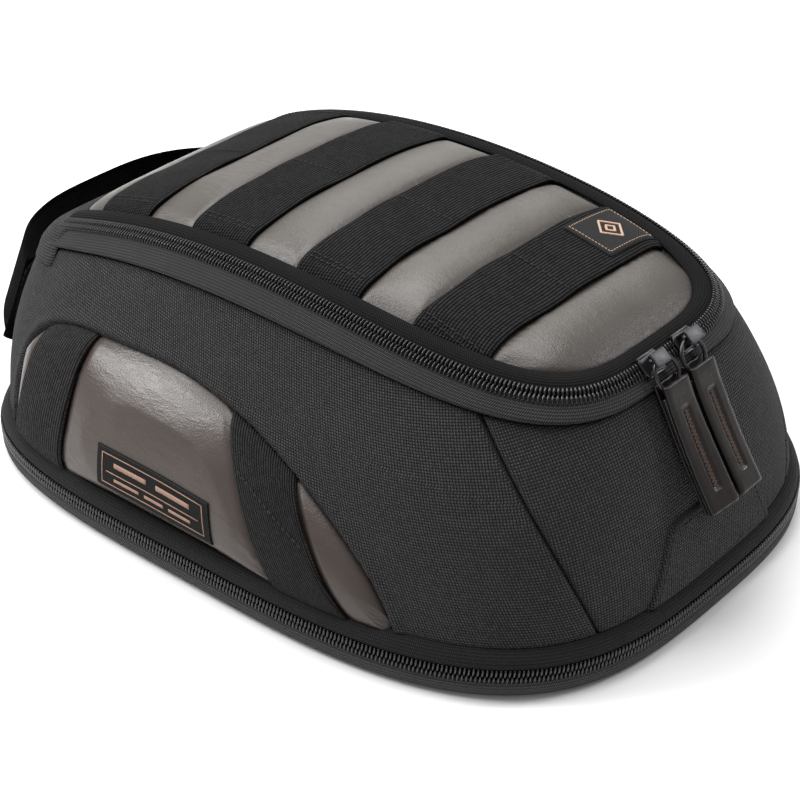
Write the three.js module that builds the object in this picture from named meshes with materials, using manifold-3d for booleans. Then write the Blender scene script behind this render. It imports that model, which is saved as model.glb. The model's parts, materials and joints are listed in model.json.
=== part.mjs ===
// A small motorcycle tank bag: an expanding base, a padded body, a hinged lid and a two-slider zip.
// Millimetres, +Z up, +Y the direction of travel, X across. The origin is under the middle of the base.
import * as THREE from "three";
import * as BufferGeometryUtils from "three/addons/utils/BufferGeometryUtils.js";
import Module from "manifold-3d";

const wasm = await Module();
wasm.setup();

// ---- Driving dimensions -------------------------------------------------------------------------
const HALF_WIDTH = 120; // of the base
const HALF_LENGTH = 150; // of the base
const BASE_SEAM_Z = 18.4; // where the body panels meet the expansion zip's upper tape
const BASE_COIL_Z = 10.1; // the line of the expansion zip
const LID_HALF_WIDTH = 67.8; // the line of the main zip
const LID_MIDDLE_Y = 28.8;
const LID_FRONT = 113; // from LID_MIDDLE_Y to the front end
const LID_REAR = 147; // from LID_MIDDLE_Y to the rider's end
const WALL_BULGE = 5;
const GAP = 0.35; // between pieces that touch
const WEBBING = 30; // width of the lid's and the sides' straps
const WEBBING_THICKNESS = 1.4;
const ZIP_TILT = 40 * THREE.MathUtils.DEG2RAD; // of the main zip, below the horizontal
const CHAIN_HALF = 2.9; // half the width of the closed row of teeth
const TOOTH_HEIGHT = 2.2;
const TAPE_THICKNESS = 0.8;
const PANEL = 1.6; // canvas with its backing
const FOAM = 2.6;
const SLACK = 1.5; // between the layers of the padded walls
const LINING = 0.7;
const ZIP_END_DEG = 138; // the main zip stops here, just behind the front corners
const FRONT_SEAM_DEG = 129;
const HANDLE_WIDTH = 38;
const HANDLE_REACH = 184.4; // how far forward the handle's upper edge bows
const HANDLE_HALF = 66.4; // between the handle's roots, halved
const HANDLE_TOP_Z = 59;
const HANDLE_LEAN = 20 * THREE.MathUtils.DEG2RAD; // its lower edge stands further out
const SLIDER_X = 10; // each main slider from the middle of the rider's end

// An outline is a superellipse whose front and rear halves have their own length and squareness.
const BASE = { half: HALF_WIDTH, middle: 0, front: HALF_LENGTH, rear: HALF_LENGTH, squareFront: 3.94,
  squareRear: 3.17, taper: 0.063 };
const ZIP = { half: LID_HALF_WIDTH, middle: LID_MIDDLE_Y, front: LID_FRONT, rear: LID_REAR, squareFront: 8,
  squareRear: 3.8, taper: 0 };

// ---- Materials ----------------------------------------------------------------------------------
function finish(color, roughness, metalness = 0) {
  return new THREE.MeshStandardMaterial({ color, roughness, metalness });
}

const FINISHES = {
  canvas: () => finish(0x35363a, 0.9),
  tape: () => finish(0x3a3b3e, 0.85),
  teeth: () => finish(0x1c1c1e, 0.4),
  webbing: () => finish(0x26262a, 0.8),
  side_leather: () => finish(0x6e6461, 0.45),
  lid_leather: () => finish(0x827d76, 0.5),
  pull_leather: () => finish(0x5a4a44, 0.5),
  label: () => finish(0x1b1a1c, 0.6),
  lining: () => finish(0x6b6d70, 0.8),
  foam: () => finish(0x8a8c8f, 0.95),
  board: () => finish(0x2c2c2e, 0.6),
  gunmetal: () => finish(0x4a4b4e, 0.3, 1),
  grip: () => finish(0x202022, 0.9),
};

const group = new THREE.Group();

function add(name, slot, geometry, parent = group) {
  const mesh = new THREE.Mesh(geometry, FINISHES[slot]());
  mesh.name = name;
  parent.add(mesh);
  return mesh;
}

// ---- Building closed solids ---------------------------------------------------------------------
// Makes a geometry of points and triangles, with its faces pointing out.
function solid(points, triangles) {
  let volume = 0;
  for (const [a, b, c] of triangles) {
    volume += new THREE.Vector3().crossVectors(points[b], points[c]).dot(points[a]);
  }
  const outward = volume > 0 ? triangles : triangles.map(([a, b, c]) => [a, c, b]);
  const geometry = new THREE.BufferGeometry().setFromPoints(points);
  geometry.setIndex(outward.flat());
  geometry.computeVertexNormals();
  return geometry;
}

function quad(a, b, c, d) {
  return [[a, b, c], [a, c, d]];
}

// A sheet of some thickness: surface(u, v) is a point, u and v run from 0 to 1, and low and high are
// the distances of its two faces from that surface, as numbers or as functions of u and v.
function slab(surface, columns, rows, low, high, ring = false) {
  const step = 1e-3;
  const value = (x, u, v) => (typeof x === "function" ? x(u, v) : x);
  const across = ring ? columns : columns + 1;
  const points = [];
  for (const face of [low, high]) {
    for (let j = 0; j <= rows; j++) {
      for (let i = 0; i < across; i++) {
        const [u, v] = [i / columns, j / rows];
        const du = surface(u + step, v).sub(surface(u - step, v));
        const dv = surface(u, v + step).sub(surface(u, v - step));
        const normal = du.cross(dv).normalize();
        points.push(surface(u, v).addScaledVector(normal, value(face, u, v)));
      }
    }
  }
  const at = (face, i, j) => face * across * (rows + 1) + j * across + (i % across);
  const triangles = [];
  for (let j = 0; j < rows; j++) {
    for (let i = 0; i < columns; i++) {
      triangles.push(...quad(at(1, i, j), at(1, i + 1, j), at(1, i + 1, j + 1), at(1, i, j + 1)));
      triangles.push(...quad(at(0, i, j + 1), at(0, i + 1, j + 1), at(0, i + 1, j), at(0, i, j)));
    }
  }
  for (let i = 0; i < columns; i++) {
    triangles.push(...quad(at(0, i, 0), at(0, i + 1, 0), at(1, i + 1, 0), at(1, i, 0)));
    triangles.push(...quad(at(1, i, rows), at(1, i + 1, rows), at(0, i + 1, rows), at(0, i, rows)));
  }
  if (!ring) {
    for (let j = 0; j < rows; j++) {
      triangles.push(...quad(at(1, 0, j), at(1, 0, j + 1), at(0, 0, j + 1), at(0, 0, j)));
      triangles.push(...quad(at(0, columns, j), at(0, columns, j + 1), at(1, columns, j + 1), at(1, columns, j)));
    }
  }
  return solid(points, triangles);
}

// A section swept along frames, each { at, side, top }: the section's points are [along side, along top].
function sweep(frames, section, ring = false) {
  const sections = frames.map((frame, i) => (typeof section === "function" ? section(frame, i) : section));
  const sides = sections[0].length;
  const points = frames.flatMap(({ at, side, top }, i) =>
    sections[i].map(([a, b]) => at.clone().addScaledVector(side, a).addScaledVector(top, b)),
  );
  const index = (i, j) => (i % frames.length) * sides + (j % sides);
  const triangles = [];
  const spans = ring ? frames.length : frames.length - 1;
  for (let i = 0; i < spans; i++) {
    for (let j = 0; j < sides; j++) {
      triangles.push(...quad(index(i, j), index(i + 1, j), index(i + 1, j + 1), index(i, j + 1)));
    }
  }
  if (!ring) {
    for (const end of [0, spans]) {
      const contour = sections[end].map(([a, b]) => new THREE.Vector2(a, b));
      for (const face of THREE.ShapeUtils.triangulateShape(contour, [])) {
        const sameWay = THREE.ShapeUtils.area(face.map((k) => contour[k])) * THREE.ShapeUtils.area(contour) > 0;
        const corners = face.map((k) => index(end, k));
        triangles.push(sameWay === (end === 0) ? corners : corners.reverse());
      }
    }
  }
  return solid(points, triangles);
}

function mirrored(geometry) {
  const copy = geometry.clone().scale(-1, 1, 1);
  const index = copy.index.array;
  for (let i = 0; i < index.length; i += 3) {
    [index[i + 1], index[i + 2]] = [index[i + 2], index[i + 1]];
  }
  copy.computeVertexNormals();
  return copy;
}

function manifold(geometry) {
  const bare = geometry.clone();
  bare.deleteAttribute("normal");
  bare.deleteAttribute("uv");
  const merged = BufferGeometryUtils.mergeVertices(bare, 1e-4);
  return new wasm.Manifold(new wasm.Mesh({ numProp: 3, vertProperties: merged.attributes.position.array,
    triVerts: new Uint32Array(merged.index.array) }));
}

function geometryOf(piece) {
  const whole = piece.getMesh();
  const geometry = new THREE.BufferGeometry();
  geometry.setAttribute("position", new THREE.BufferAttribute(whole.vertProperties, 3));
  geometry.setIndex(new THREE.BufferAttribute(whole.triVerts, 1));
  return geometry;
}

function joined(...geometries) {
  return geometryOf(geometries.map(manifold).reduce((sum, piece) => sum.add(piece)));
}

// ---- The bag's outlines and surfaces ------------------------------------------------------------
const radians = (degrees) => degrees * THREE.MathUtils.DEG2RAD;
const mix = THREE.MathUtils.lerp;
const rectangle = (a0, a1, b0, b1) => [[a0, b0], [a1, b0], [a1, b1], [a0, b1]];

function outlinePoint(outline, angle) {
  const [c, s] = [Math.cos(angle), Math.sin(angle)];
  const power = s >= 0 ? outline.squareFront : outline.squareRear;
  const length = s >= 0 ? outline.front : outline.rear;
  const reach = (Math.abs(c) ** power + Math.abs(s) ** power) ** (-1 / power);
  const y = length * reach * s;
  const x = outline.half * (1 + (outline.taper * y) / length) * reach * c;
  return new THREE.Vector3(x, y + outline.middle, 0);
}

function outlineNormal(outline, angle) {
  const step = 1e-3;
  const along = outlinePoint(outline, angle + step).sub(outlinePoint(outline, angle - step));
  return new THREE.Vector3(along.y, -along.x, 0).normalize();
}

// The height of the main zip: highest over the middle, falling a little to the rider and more to the front.
function zipHeight(y) {
  return 105.6 + 0.0018 * y - 1.035e-3 * y ** 2 - 2.82e-6 * y ** 3;
}

// The main zip's line, with the direction across it (out and down) and the direction its teeth face.
function zipFrame(angle) {
  const at = outlinePoint(ZIP, angle);
  at.z = zipHeight(at.y);
  const out = outlineNormal(ZIP, angle);
  const [c, s] = [Math.cos(ZIP_TILT), Math.sin(ZIP_TILT)];
  const side = new THREE.Vector3(out.x * c, out.y * c, -s);
  return { angle, at, side, top: new THREE.Vector3(out.x * s, out.y * s, c) };
}

function baseFrame(angle, z = 0) {
  const at = outlinePoint(BASE, angle);
  at.z = z;
  return { angle, at, side: outlineNormal(BASE, angle), top: new THREE.Vector3(0, 0, 1) };
}

// How far the body's zip tape shows between the teeth and the panel below it.
function tapeWidth(angle) {
  return 7 + 4.5 * Math.cos(angle) ** 2;
}

function wallTop(angle) {
  const frame = zipFrame(angle);
  return frame.at.addScaledVector(frame.side, tapeWidth(angle)).addScaledVector(frame.top, -2.6);
}

function wallFoot(angle) {
  const frame = baseFrame(angle, BASE_SEAM_Z);
  return frame.at.addScaledVector(frame.side, -4.5);
}

// The body's outer wall: angle in degrees around the bag, rise 0 at the foot and 1 at the zip tape.
function wall(degrees, rise) {
  const angle = radians(degrees);
  const swell = WALL_BULGE * 4 * rise * (1 - rise);
  return wallFoot(angle).lerp(wallTop(angle), rise).addScaledVector(outlineNormal(BASE, angle), swell);
}

function around(frameOf, from, to, steps) {
  return Array.from({ length: steps + 1 }, (_, i) => frameOf(radians(mix(from, to, i / steps))));
}

function fullTurn(frameOf, steps) {
  return around(frameOf, 0, 360, steps).slice(0, steps);
}

// ---- Base ---------------------------------------------------------------------------------------
function plate(inset, bottom, top, steps) {
  const edge = fullTurn(baseFrame, steps).map(({ at, side }) => at.clone().addScaledVector(side, -inset));
  const shape = new THREE.Shape(edge.map((p) => new THREE.Vector2(p.x, p.y)));
  const depth = top - bottom;
  return new THREE.ExtrudeGeometry(shape, { depth, bevelEnabled: false }).translate(0, 0, bottom);
}

function makeBase() {
  const base = new THREE.Group();
  group.add(base);
  add("base_panel", "board", plate(5.5, 0, 2, 48), base);
  add("base_board", "board", plate(9, 2.4, 4, 40), base);
  add("floor_lining", "lining", plate(10, 4.4, 5, 40), base);
  const band = [[-5, 0.3], [-1.5, 0.3], [0.4, 2.2], [0.4, 6.8], [-1.2, 6.8], [-1.2, 2.8], [-5, 2.8]];
  add("base_band", "canvas", sweep(fullTurn(baseFrame, 48), band, true), base);
  const [low, high] = [BASE_COIL_Z - CHAIN_HALF - 0.1, BASE_COIL_Z - 0.2];
  add("base_zip_tape", "tape", sweep(fullTurn(baseFrame, 48), rectangle(-2.4, -1.6, 3.4, high), true), base);
  add("base_zip_teeth", "teeth", sweep(fullTurn(baseFrame, 48), rectangle(-1.2, 1, low, high), true), base);
  return base;
}

// The folded fabric that opens when the expansion zip is undone.
function makeGusset(parent) {
  const fold = [[-6.6, 5.4], [-3.2, 5.4], [-3.2, 12.8], [-3.9, 12.8], [-3.9, 6.1], [-6.6, 6.1]];
  add("expansion_gusset", "lining", sweep(fullTurn(baseFrame, 48), fold, true), parent);
}

// ---- Body ---------------------------------------------------------------------------------------
// The rear seams lean: they meet the foot nearer the middle of the rider's end than they meet the zip.
const rearSeam = (rise) => mix(241, 222, rise);

function panelSurface(from, to, foot, head) {
  return (u, v) => {
    const rise = mix(foot, head, v);
    return wall(mix(from(rise), to(rise), u), rise);
  };
}

function sidePanel(margin, foot, head) {
  return panelSurface(() => FRONT_SEAM_DEG + margin, (rise) => rearSeam(rise) - margin, foot, head);
}

function rearPanel(margin, foot, head) {
  return panelSurface((rise) => rearSeam(rise) + margin, (rise) => 540 - rearSeam(rise) - margin, foot, head);
}

function frontPanel(margin, foot, head) {
  return panelSurface(() => 180 - FRONT_SEAM_DEG + margin, () => FRONT_SEAM_DEG - margin, foot, head);
}

function makeWalls(body) {
  const side = slab(sidePanel(0.15, 0, 1), 16, 5, -PANEL, 0);
  add("left_side_panel", "canvas", side, body);
  add("right_side_panel", "canvas", mirrored(side), body);
  add("rear_end_panel", "canvas", slab(rearPanel(0.15, 0, 1), 14, 5, -PANEL, 0), body);
  add("front_end_panel", "canvas", slab(frontPanel(0.15, 0, 1), 12, 4, -PANEL, 0), body);
  const outer = -PANEL - SLACK;
  const inner = outer - FOAM;
  const sideFoam = slab(sidePanel(3, 0.04, 0.95), 16, 3, inner, outer);
  add("left_side_foam", "foam", sideFoam, body);
  add("right_side_foam", "foam", mirrored(sideFoam), body);
  add("rear_end_foam", "foam", slab(rearPanel(3, 0.04, 0.95), 14, 3, inner, outer), body);
  add("front_end_foam", "foam", slab(frontPanel(3, 0.04, 0.92), 8, 3, inner, outer), body);
  const lining = (u, v) => wall(360 * u, mix(0.03, 0.97, v));
  const face = inner - 1.7;
  add("body_lining", "lining", slab(lining, 48, 3, face - LINING, face, true), body);
}

function makeExpansionUpper(body) {
  const [low, high] = [BASE_COIL_Z + 0.2, BASE_COIL_Z + CHAIN_HALF + 0.1];
  const [bend, head] = [high + 0.5, BASE_SEAM_Z - 0.5];
  const slope = [[-1.6, low], [-1.6, bend], [-5.2, head], [-6, head], [-2.4, bend], [-2.4, low]];
  add("body_lower_tape", "tape", sweep(fullTurn(baseFrame, 48), slope, true), body);
  add("body_lower_teeth", "teeth", sweep(fullTurn(baseFrame, 48), rectangle(-1.2, 1, low, high), true), body);
}

function makeBodyZip(body) {
  const path = around(zipFrame, ZIP_END_DEG, 540 - ZIP_END_DEG, 46);
  const tape = ({ angle }) => rectangle(0.4, tapeWidth(angle) + 1.5, -2.2, -2.2 + TAPE_THICKNESS);
  add("body_zip_tape", "tape", sweep(path, tape), body);
  add("body_zip_teeth", "teeth", sweep(path, rectangle(0.3, CHAIN_HALF, -1.1, TOOTH_HEIGHT - 1.1)), body);
}

// ---- Leather on the body's sides ----------------------------------------------------------------
const INSET_FROM = 141; // degrees, at the front of the left side
const INSET_TO = 211.5;
const INSET_HEIGHT = 0.68; // of the wall
const INSET_PEAK = 0.35; // how far along its length the leather is tallest

// The leather's upper edge: steep in front, a long curve down behind.
function insetEdge(s) {
  if (s < INSET_PEAK) return INSET_HEIGHT * (1 - ((INSET_PEAK - s) / INSET_PEAK) ** 6) ** 0.25;
  return INSET_HEIGHT * (1 - ((s - INSET_PEAK) / (1 - INSET_PEAK)) ** 2.6) ** 0.625;
}

function insetPoint(s, t) {
  return wall(mix(INSET_FROM, INSET_TO, s), mix(0.015, 1, t) * insetEdge(s));
}

function insetPadding(s, t) {
  return 2 + 1.6 * (1 - (2 * s - 1) ** 4) * (1 - (2 * t - 1) ** 4);
}

// A patch on the leather: s and t run from 0 to 1 along and up it.
function onInset(place, columns, rows, clearance, thickness) {
  const lift = (u, v) => insetPadding(...place(u, v)) + clearance;
  return slab((u, v) => insetPoint(...place(u, v)), columns, rows, lift, (u, v) => lift(u, v) + thickness);
}

function makeSides(body) {
  const spread = (u) => mix(0.006, 0.994, 0.5 - 0.5 * Math.cos(Math.PI * THREE.MathUtils.clamp(u, -0.02, 1.02)));
  const face = (u, v) => insetPadding(spread(u), v);
  const leather = slab((u, v) => insetPoint(spread(u), v), 18, 5, GAP, face);
  const sAt = (degrees) => (degrees - INSET_FROM) / (INSET_TO - INSET_FROM);
  const strap = (foot, head, half) => (u, v) => {
    return [mix(sAt(foot), sAt(head), v) + (u - 0.5) * 2 * half, mix(0.02, 0.95, v)];
  };
  const pieces = {
    side_leather: ["side_leather", leather],
    side_strap_front: ["webbing", onInset(strap(149, 151, 0.073), 4, 8, 0.5, WEBBING_THICKNESS)],
    side_strap_rear: ["webbing", onInset(strap(200, 192.5, 0.08), 4, 8, 0.5, WEBBING_THICKNESS)],
  };
  for (const [name, [slot, geometry]] of Object.entries(pieces)) {
    add("left_" + name, slot, geometry, body);
    add("right_" + name, slot, mirrored(geometry), body);
  }
  const label = (u, v) => [mix(sAt(160.5), sAt(183), u), mix(0.1, 0.38, v)];
  add("side_label", "label", onInset(label, 6, 3, 0.5, 0.9), body);
}

// The reinforced patch low on the rider's end: a wide foot and a narrower head.
function makeRearPatch(body) {
  const patch = (u, v) => wall(270 + mix(19, 14.5, v) * (2 * u - 1), mix(0.02, 0.4, v));
  add("rear_patch", "canvas", slab(patch, 8, 4, GAP, GAP + 1.2), body);
}

// ---- Lid ----------------------------------------------------------------------------------------
const LID_EDGE = 5.5; // the lid's stiff panel stops this far inside the zip
const PAD_EDGE = 10; // and the leather pad this far
const LID_CROWN = 5.4; // how much the stiff panel domes
const PAD_SIDE = 1.5; // the leather's height at its edge
const PAD_CROWN = 5; // and how much it domes
const STRAP_MIDDLES = [97, 43, -12, -66];
const STRAP_CLEARANCE = 0.8; // over the domed leather
const PATCH_X = [23, 51];
const PATCH_Y = [-77, -55];
const shrunk = (edge, frontEdge = edge) => ({ ...ZIP, half: ZIP.half - edge, front: ZIP.front - frontEdge,
  rear: ZIP.rear - edge });
const LID_OUTLINE = shrunk(LID_EDGE, 1);
const PAD_OUTLINE = shrunk(PAD_EDGE);

// How far out a place lies: 0 at the outline's middle, 1 on its edge.
function reachOf(outline, x, y) {
  const power = y >= outline.middle ? outline.squareFront : outline.squareRear;
  const length = y >= outline.middle ? outline.front : outline.rear;
  const [across, along] = [x / outline.half, (y - outline.middle) / length];
  return (Math.abs(across) ** power + Math.abs(along) ** power) ** (1 / power);
}

// Spreads the unit square over an outline, its edge on the outline's edge.
function spreadOver(outline, height) {
  return (u, v) => {
    const [s, t] = [2 * u - 1, 2 * v - 1];
    const reach = Math.max(Math.abs(s), Math.abs(t));
    const point = outlinePoint(outline, Math.atan2(t, s)).sub(new THREE.Vector3(0, outline.middle, 0));
    point.multiplyScalar(reach).add(new THREE.Vector3(0, outline.middle, 0));
    point.z = height(point.x, point.y);
    return point;
  };
}

function lidTop(x, y) {
  return zipHeight(y) - 3.4 + LID_CROWN * (1 - reachOf(LID_OUTLINE, x, y) ** 3);
}

function padTop(x, y) {
  return lidTop(x, y) + PAD_SIDE + PAD_CROWN * (1 - reachOf(PAD_OUTLINE, x, y) ** 5);
}

function strapOnPad(middleY, columns) {
  const half = WEBBING / 2;
  const reach = PAD_OUTLINE.half - 1.2;
  return slab((u, v) => {
    const [x, y] = [mix(-reach, reach, u), middleY + mix(-half, half, v)];
    return new THREE.Vector3(x, y, padTop(x, y));
  }, columns, 3, STRAP_CLEARANCE, STRAP_CLEARANCE + WEBBING_THICKNESS);
}

function lower(surface, drop) {
  return (x, y) => surface(x, y) - drop;
}

function makeLid() {
  const lid = new THREE.Group();
  group.add(lid);
  add("lid_panel", "canvas", slab(spreadOver(LID_OUTLINE, lidTop), 10, 12, -PANEL, 0), lid);
  const foam = spreadOver(shrunk(11), lower(lidTop, PANEL + SLACK));
  add("lid_foam", "foam", slab(foam, 8, 10, -FOAM, 0), lid);
  const lining = spreadOver(shrunk(8.5), lower(lidTop, PANEL + FOAM + 2 * SLACK));
  add("lid_lining", "lining", slab(lining, 8, 10, -LINING, 0), lid);
  const pad = slab(spreadOver(PAD_OUTLINE, lidTop), 14, 16, 0.6, (u, v) => {
    const reach = Math.max(Math.abs(2 * u - 1), Math.abs(2 * v - 1));
    return PAD_SIDE + PAD_CROWN * (1 - reach ** 5);
  });
  add("lid_leather", "lid_leather", pad, lid);
  STRAP_MIDDLES.forEach((y, i) => add("lid_strap_" + (i + 1), "webbing", strapOnPad(y, 12), lid));
  const patch = (u, v) => {
    const [x, y] = [mix(...PATCH_X, u), mix(...PATCH_Y, v)];
    return new THREE.Vector3(x, y, padTop(x, y));
  };
  const patchUnder = STRAP_CLEARANCE + WEBBING_THICKNESS + 0.5;
  add("lid_patch", "label", slab(patch, 4, 4, patchUnder, patchUnder + 0.8), lid);
  const path = around(zipFrame, ZIP_END_DEG, 540 - ZIP_END_DEG, 46);
  const tape = [[-0.4, -2.2], [-0.4, -1.4], [-3.2, -1.4], [-9, 1.4], [-9, 0.6], [-3.2, -2.2]];
  add("lid_zip_tape", "tape", sweep(path, tape), lid);
  add("lid_zip_teeth", "teeth", sweep(path, rectangle(-CHAIN_HALF, -0.3, -1.1, TOOTH_HEIGHT - 1.1)), lid);
  return lid;
}

// The strip of canvas across the front that the lid turns on.
function makeHingeStrip(body) {
  const strip = (u, v) => wall(mix(62, 118, u), mix(0.6, 1.05, v));
  add("lid_hinge_strip", "canvas", slab(strip, 8, 2, GAP, GAP + 1.2), body);
}

// ---- Carrying handle ----------------------------------------------------------------------------
function makeHandle(body) {
  // The tabs' edges lean with the wall, so that they meet the webbing's slanting ends.
  const tab = (u, v) => wall(mix(mix(121.5, 128, u), mix(126, 132.75, u), v), mix(0.1, 0.76, v));
  const tabGeometry = slab(tab, 3, 3, GAP, GAP + 1.8);
  add("left_handle_tab", "grip", tabGeometry, body);
  add("right_handle_tab", "grip", mirrored(tabGeometry), body);
  const rootY = 149.2;
  const bow = (x) => rootY + (HANDLE_REACH - rootY) * (1 - Math.abs(x / HANDLE_HALF) ** 3.15);
  const [c, s] = [Math.cos(HANDLE_LEAN), Math.sin(HANDLE_LEAN)];
  const frames = Array.from({ length: 25 }, (_, i) => {
    const x = -HANDLE_HALF * Math.cos((Math.PI * i) / 24);
    const slope = (bow(x + 0.1) - bow(x - 0.1)) / 0.2;
    const out = new THREE.Vector3(-slope, 1, 0).normalize();
    const at = new THREE.Vector3(x, bow(x), HANDLE_TOP_Z);
    const side = new THREE.Vector3(out.x * c, out.y * c, s);
    return { at, side, top: new THREE.Vector3(-out.x * s, -out.y * s, c) };
  });
  add("handle_strap", "grip", sweep(frames, rectangle(-1, 1, -HANDLE_WIDTH, 0)));
}

// ---- Sliders and pulls --------------------------------------------------------------------------
function box(x, y, z, cx, cy, cz) {
  return new THREE.BoxGeometry(x, y, z).translate(cx, cy, cz);
}

// A ring of wire in the plane of x and z, hanging from z = 0 down.
function wireRing(radius, wire) {
  const frames = Array.from({ length: 24 }, (_, i) => {
    const angle = (Math.PI * i) / 12;
    const out = new THREE.Vector3(Math.cos(angle), 0, Math.sin(angle));
    const at = out.clone().multiplyScalar(radius).add(new THREE.Vector3(0, 0, -radius));
    return { at, side: new THREE.Vector3(0, 1, 0), top: out };
  });
  const turns = Array.from({ length: 6 }, (_, i) => (Math.PI * i) / 3);
  return sweep(frames, turns.map((turn) => [wire * Math.cos(turn), wire * Math.sin(turn)]), true);
}

// Lays a piece made with x along the zip, y across it and z up from it onto a frame.
function placed(frame, along) {
  const holder = new THREE.Group();
  const basis = new THREE.Matrix4().makeBasis(along, new THREE.Vector3().crossVectors(frame.top, along), frame.top);
  holder.quaternion.setFromRotationMatrix(basis);
  holder.position.copy(frame.at);
  group.add(holder);
  return holder;
}

const BRIDGE_HEIGHT = 4.9; // of the pull's pivot above the zip's middle
const BRIDGE_INWARD = 2.2; // the ring hangs this much nearer the middle than its slider
const RING_RADIUS = 6;
const RING_WIRE = 0.8;
const PULL_ANGLE = 58 * THREE.MathUtils.DEG2RAD; // of the ring and the tab, below the horizontal
const TAB_WIDTH = 13.2;
const TAB_LENGTH = 50;
const TAB_TOP = -1.6; // the tab's upper edge from the ring's middle
const TAB_THICKNESS = 4.8;
const TAB_POCKET = 2.4; // between the tab's layers, round the ring

// A slider with its plate over the teeth, flanges beside them and a bridge; inward is 1 or -1 along x.
function sliderBody(inward) {
  const plate = box(11, 8.2, 1, 0, 0, TOOTH_HEIGHT - 1.1 + 0.4 + 0.5);
  const flanges = [-3.8, 3.8].map((y) => box(9, 0.6, 1.6, 0, y, 1.2));
  const posts = [-2.2, 2.2].map((y) => box(3, 1.2, 5, inward * BRIDGE_INWARD, y, 4.4));
  const cap = box(7.4, 5.6, 1, 0, 0, BRIDGE_HEIGHT + 2);
  return joined(plate, cap, ...posts, ...flanges);
}

function tabBody() {
  const whole = box(TAB_WIDTH, TAB_THICKNESS, TAB_LENGTH, 0, 0, TAB_TOP - TAB_LENGTH / 2);
  const depth = RING_RADIUS + RING_WIRE + GAP;
  const pocket = box(TAB_WIDTH + 2, TAB_POCKET, depth + 2, 0, 0, 1 - depth / 2);
  return geometryOf(manifold(whole).subtract(manifold(pocket)));
}

function makeMainSlider(name, sign) {
  const [c, s] = [Math.cos(ZIP_TILT), Math.sin(ZIP_TILT)];
  const y = LID_MIDDLE_Y - LID_REAR;
  const at = new THREE.Vector3(sign * SLIDER_X, y, zipHeight(y));
  const frame = { at, top: new THREE.Vector3(0, -s, c) };
  const holder = placed(frame, new THREE.Vector3(1, 0, 0));
  add(name + "_slider", "gunmetal", sliderBody(-sign), holder);
  const pivot = frame.at.clone().addScaledVector(frame.top, BRIDGE_HEIGHT);
  pivot.x -= sign * BRIDGE_INWARD;
  const ring = new THREE.Group();
  ring.position.copy(pivot);
  ring.rotation.x = -(Math.PI / 2 - PULL_ANGLE);
  group.add(ring);
  add(name + "_pull_ring", "gunmetal", wireRing(RING_RADIUS, RING_WIRE), ring);
  const tab = new THREE.Group();
  tab.position.z = -RING_RADIUS;
  ring.add(tab);
  add(name + "_pull_tab", "pull_leather", tabBody(), tab);
}

// The expansion zip's slider, parked on the front end, and its flat metal pull.
function makeExpansionSlider() {
  const frame = baseFrame(radians(90), BASE_COIL_Z);
  const at = frame.at.add(new THREE.Vector3(-40, -0.35, 0));
  const holder = placed({ at, top: new THREE.Vector3(0, 1, 0) }, new THREE.Vector3(-1, 0, 0));
  const face = 1.9;
  const plate = box(11, 8, 1, 0, 0, face);
  const posts = [-3.6, 3.6].map((x) => box(1.6, 3, 3, x, 0, face + 1.6));
  const cap = box(8.8, 3, 1, 0, 0, face + 3.4);
  add("expansion_slider", "gunmetal", joined(plate, cap, ...posts), holder);
  const pull = box(18, 5, 1, 15.5, 0, face + 1.4);
  add("expansion_pull", "gunmetal", pull, holder);
}

const base = makeBase();
makeGusset(base);
const body = new THREE.Group();
group.add(body);
makeWalls(body);
makeExpansionUpper(body);
makeBodyZip(body);
makeSides(body);
makeRearPatch(body);
makeHingeStrip(body);
makeHandle(body);
makeLid();
makeMainSlider("left", -1);
makeMainSlider("right", 1);
makeExpansionSlider();

export default group;
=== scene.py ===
"""A small motorcycle tank bag: charcoal textile, taupe leather insets, webbing straps and two long zips.

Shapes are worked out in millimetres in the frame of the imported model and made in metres.
"""
import json
import math

import bmesh
import bpy
import numpy as np
from mathutils import Matrix, Vector, kdtree


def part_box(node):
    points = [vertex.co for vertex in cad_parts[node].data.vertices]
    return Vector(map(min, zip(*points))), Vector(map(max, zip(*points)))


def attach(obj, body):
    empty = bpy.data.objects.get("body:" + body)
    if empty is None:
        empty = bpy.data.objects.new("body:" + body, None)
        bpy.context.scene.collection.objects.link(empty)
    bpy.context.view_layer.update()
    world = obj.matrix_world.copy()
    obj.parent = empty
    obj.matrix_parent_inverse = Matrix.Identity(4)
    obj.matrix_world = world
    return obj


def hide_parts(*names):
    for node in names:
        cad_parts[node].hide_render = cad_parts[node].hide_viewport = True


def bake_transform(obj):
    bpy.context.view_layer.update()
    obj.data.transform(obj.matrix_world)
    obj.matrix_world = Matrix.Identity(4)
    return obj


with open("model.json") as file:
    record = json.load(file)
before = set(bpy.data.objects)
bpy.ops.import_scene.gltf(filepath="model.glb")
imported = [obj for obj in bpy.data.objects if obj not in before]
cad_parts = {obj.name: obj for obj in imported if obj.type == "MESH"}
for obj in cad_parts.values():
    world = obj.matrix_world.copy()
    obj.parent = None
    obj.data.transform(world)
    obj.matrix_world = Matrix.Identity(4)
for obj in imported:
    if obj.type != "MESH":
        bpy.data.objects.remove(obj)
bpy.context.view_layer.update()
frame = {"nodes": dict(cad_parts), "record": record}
MM = 0.001


def size(node):
    """A node's lowest and highest corner, in millimetres."""
    low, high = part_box(node)
    return np.array(low) / MM, np.array(high) / MM


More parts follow.
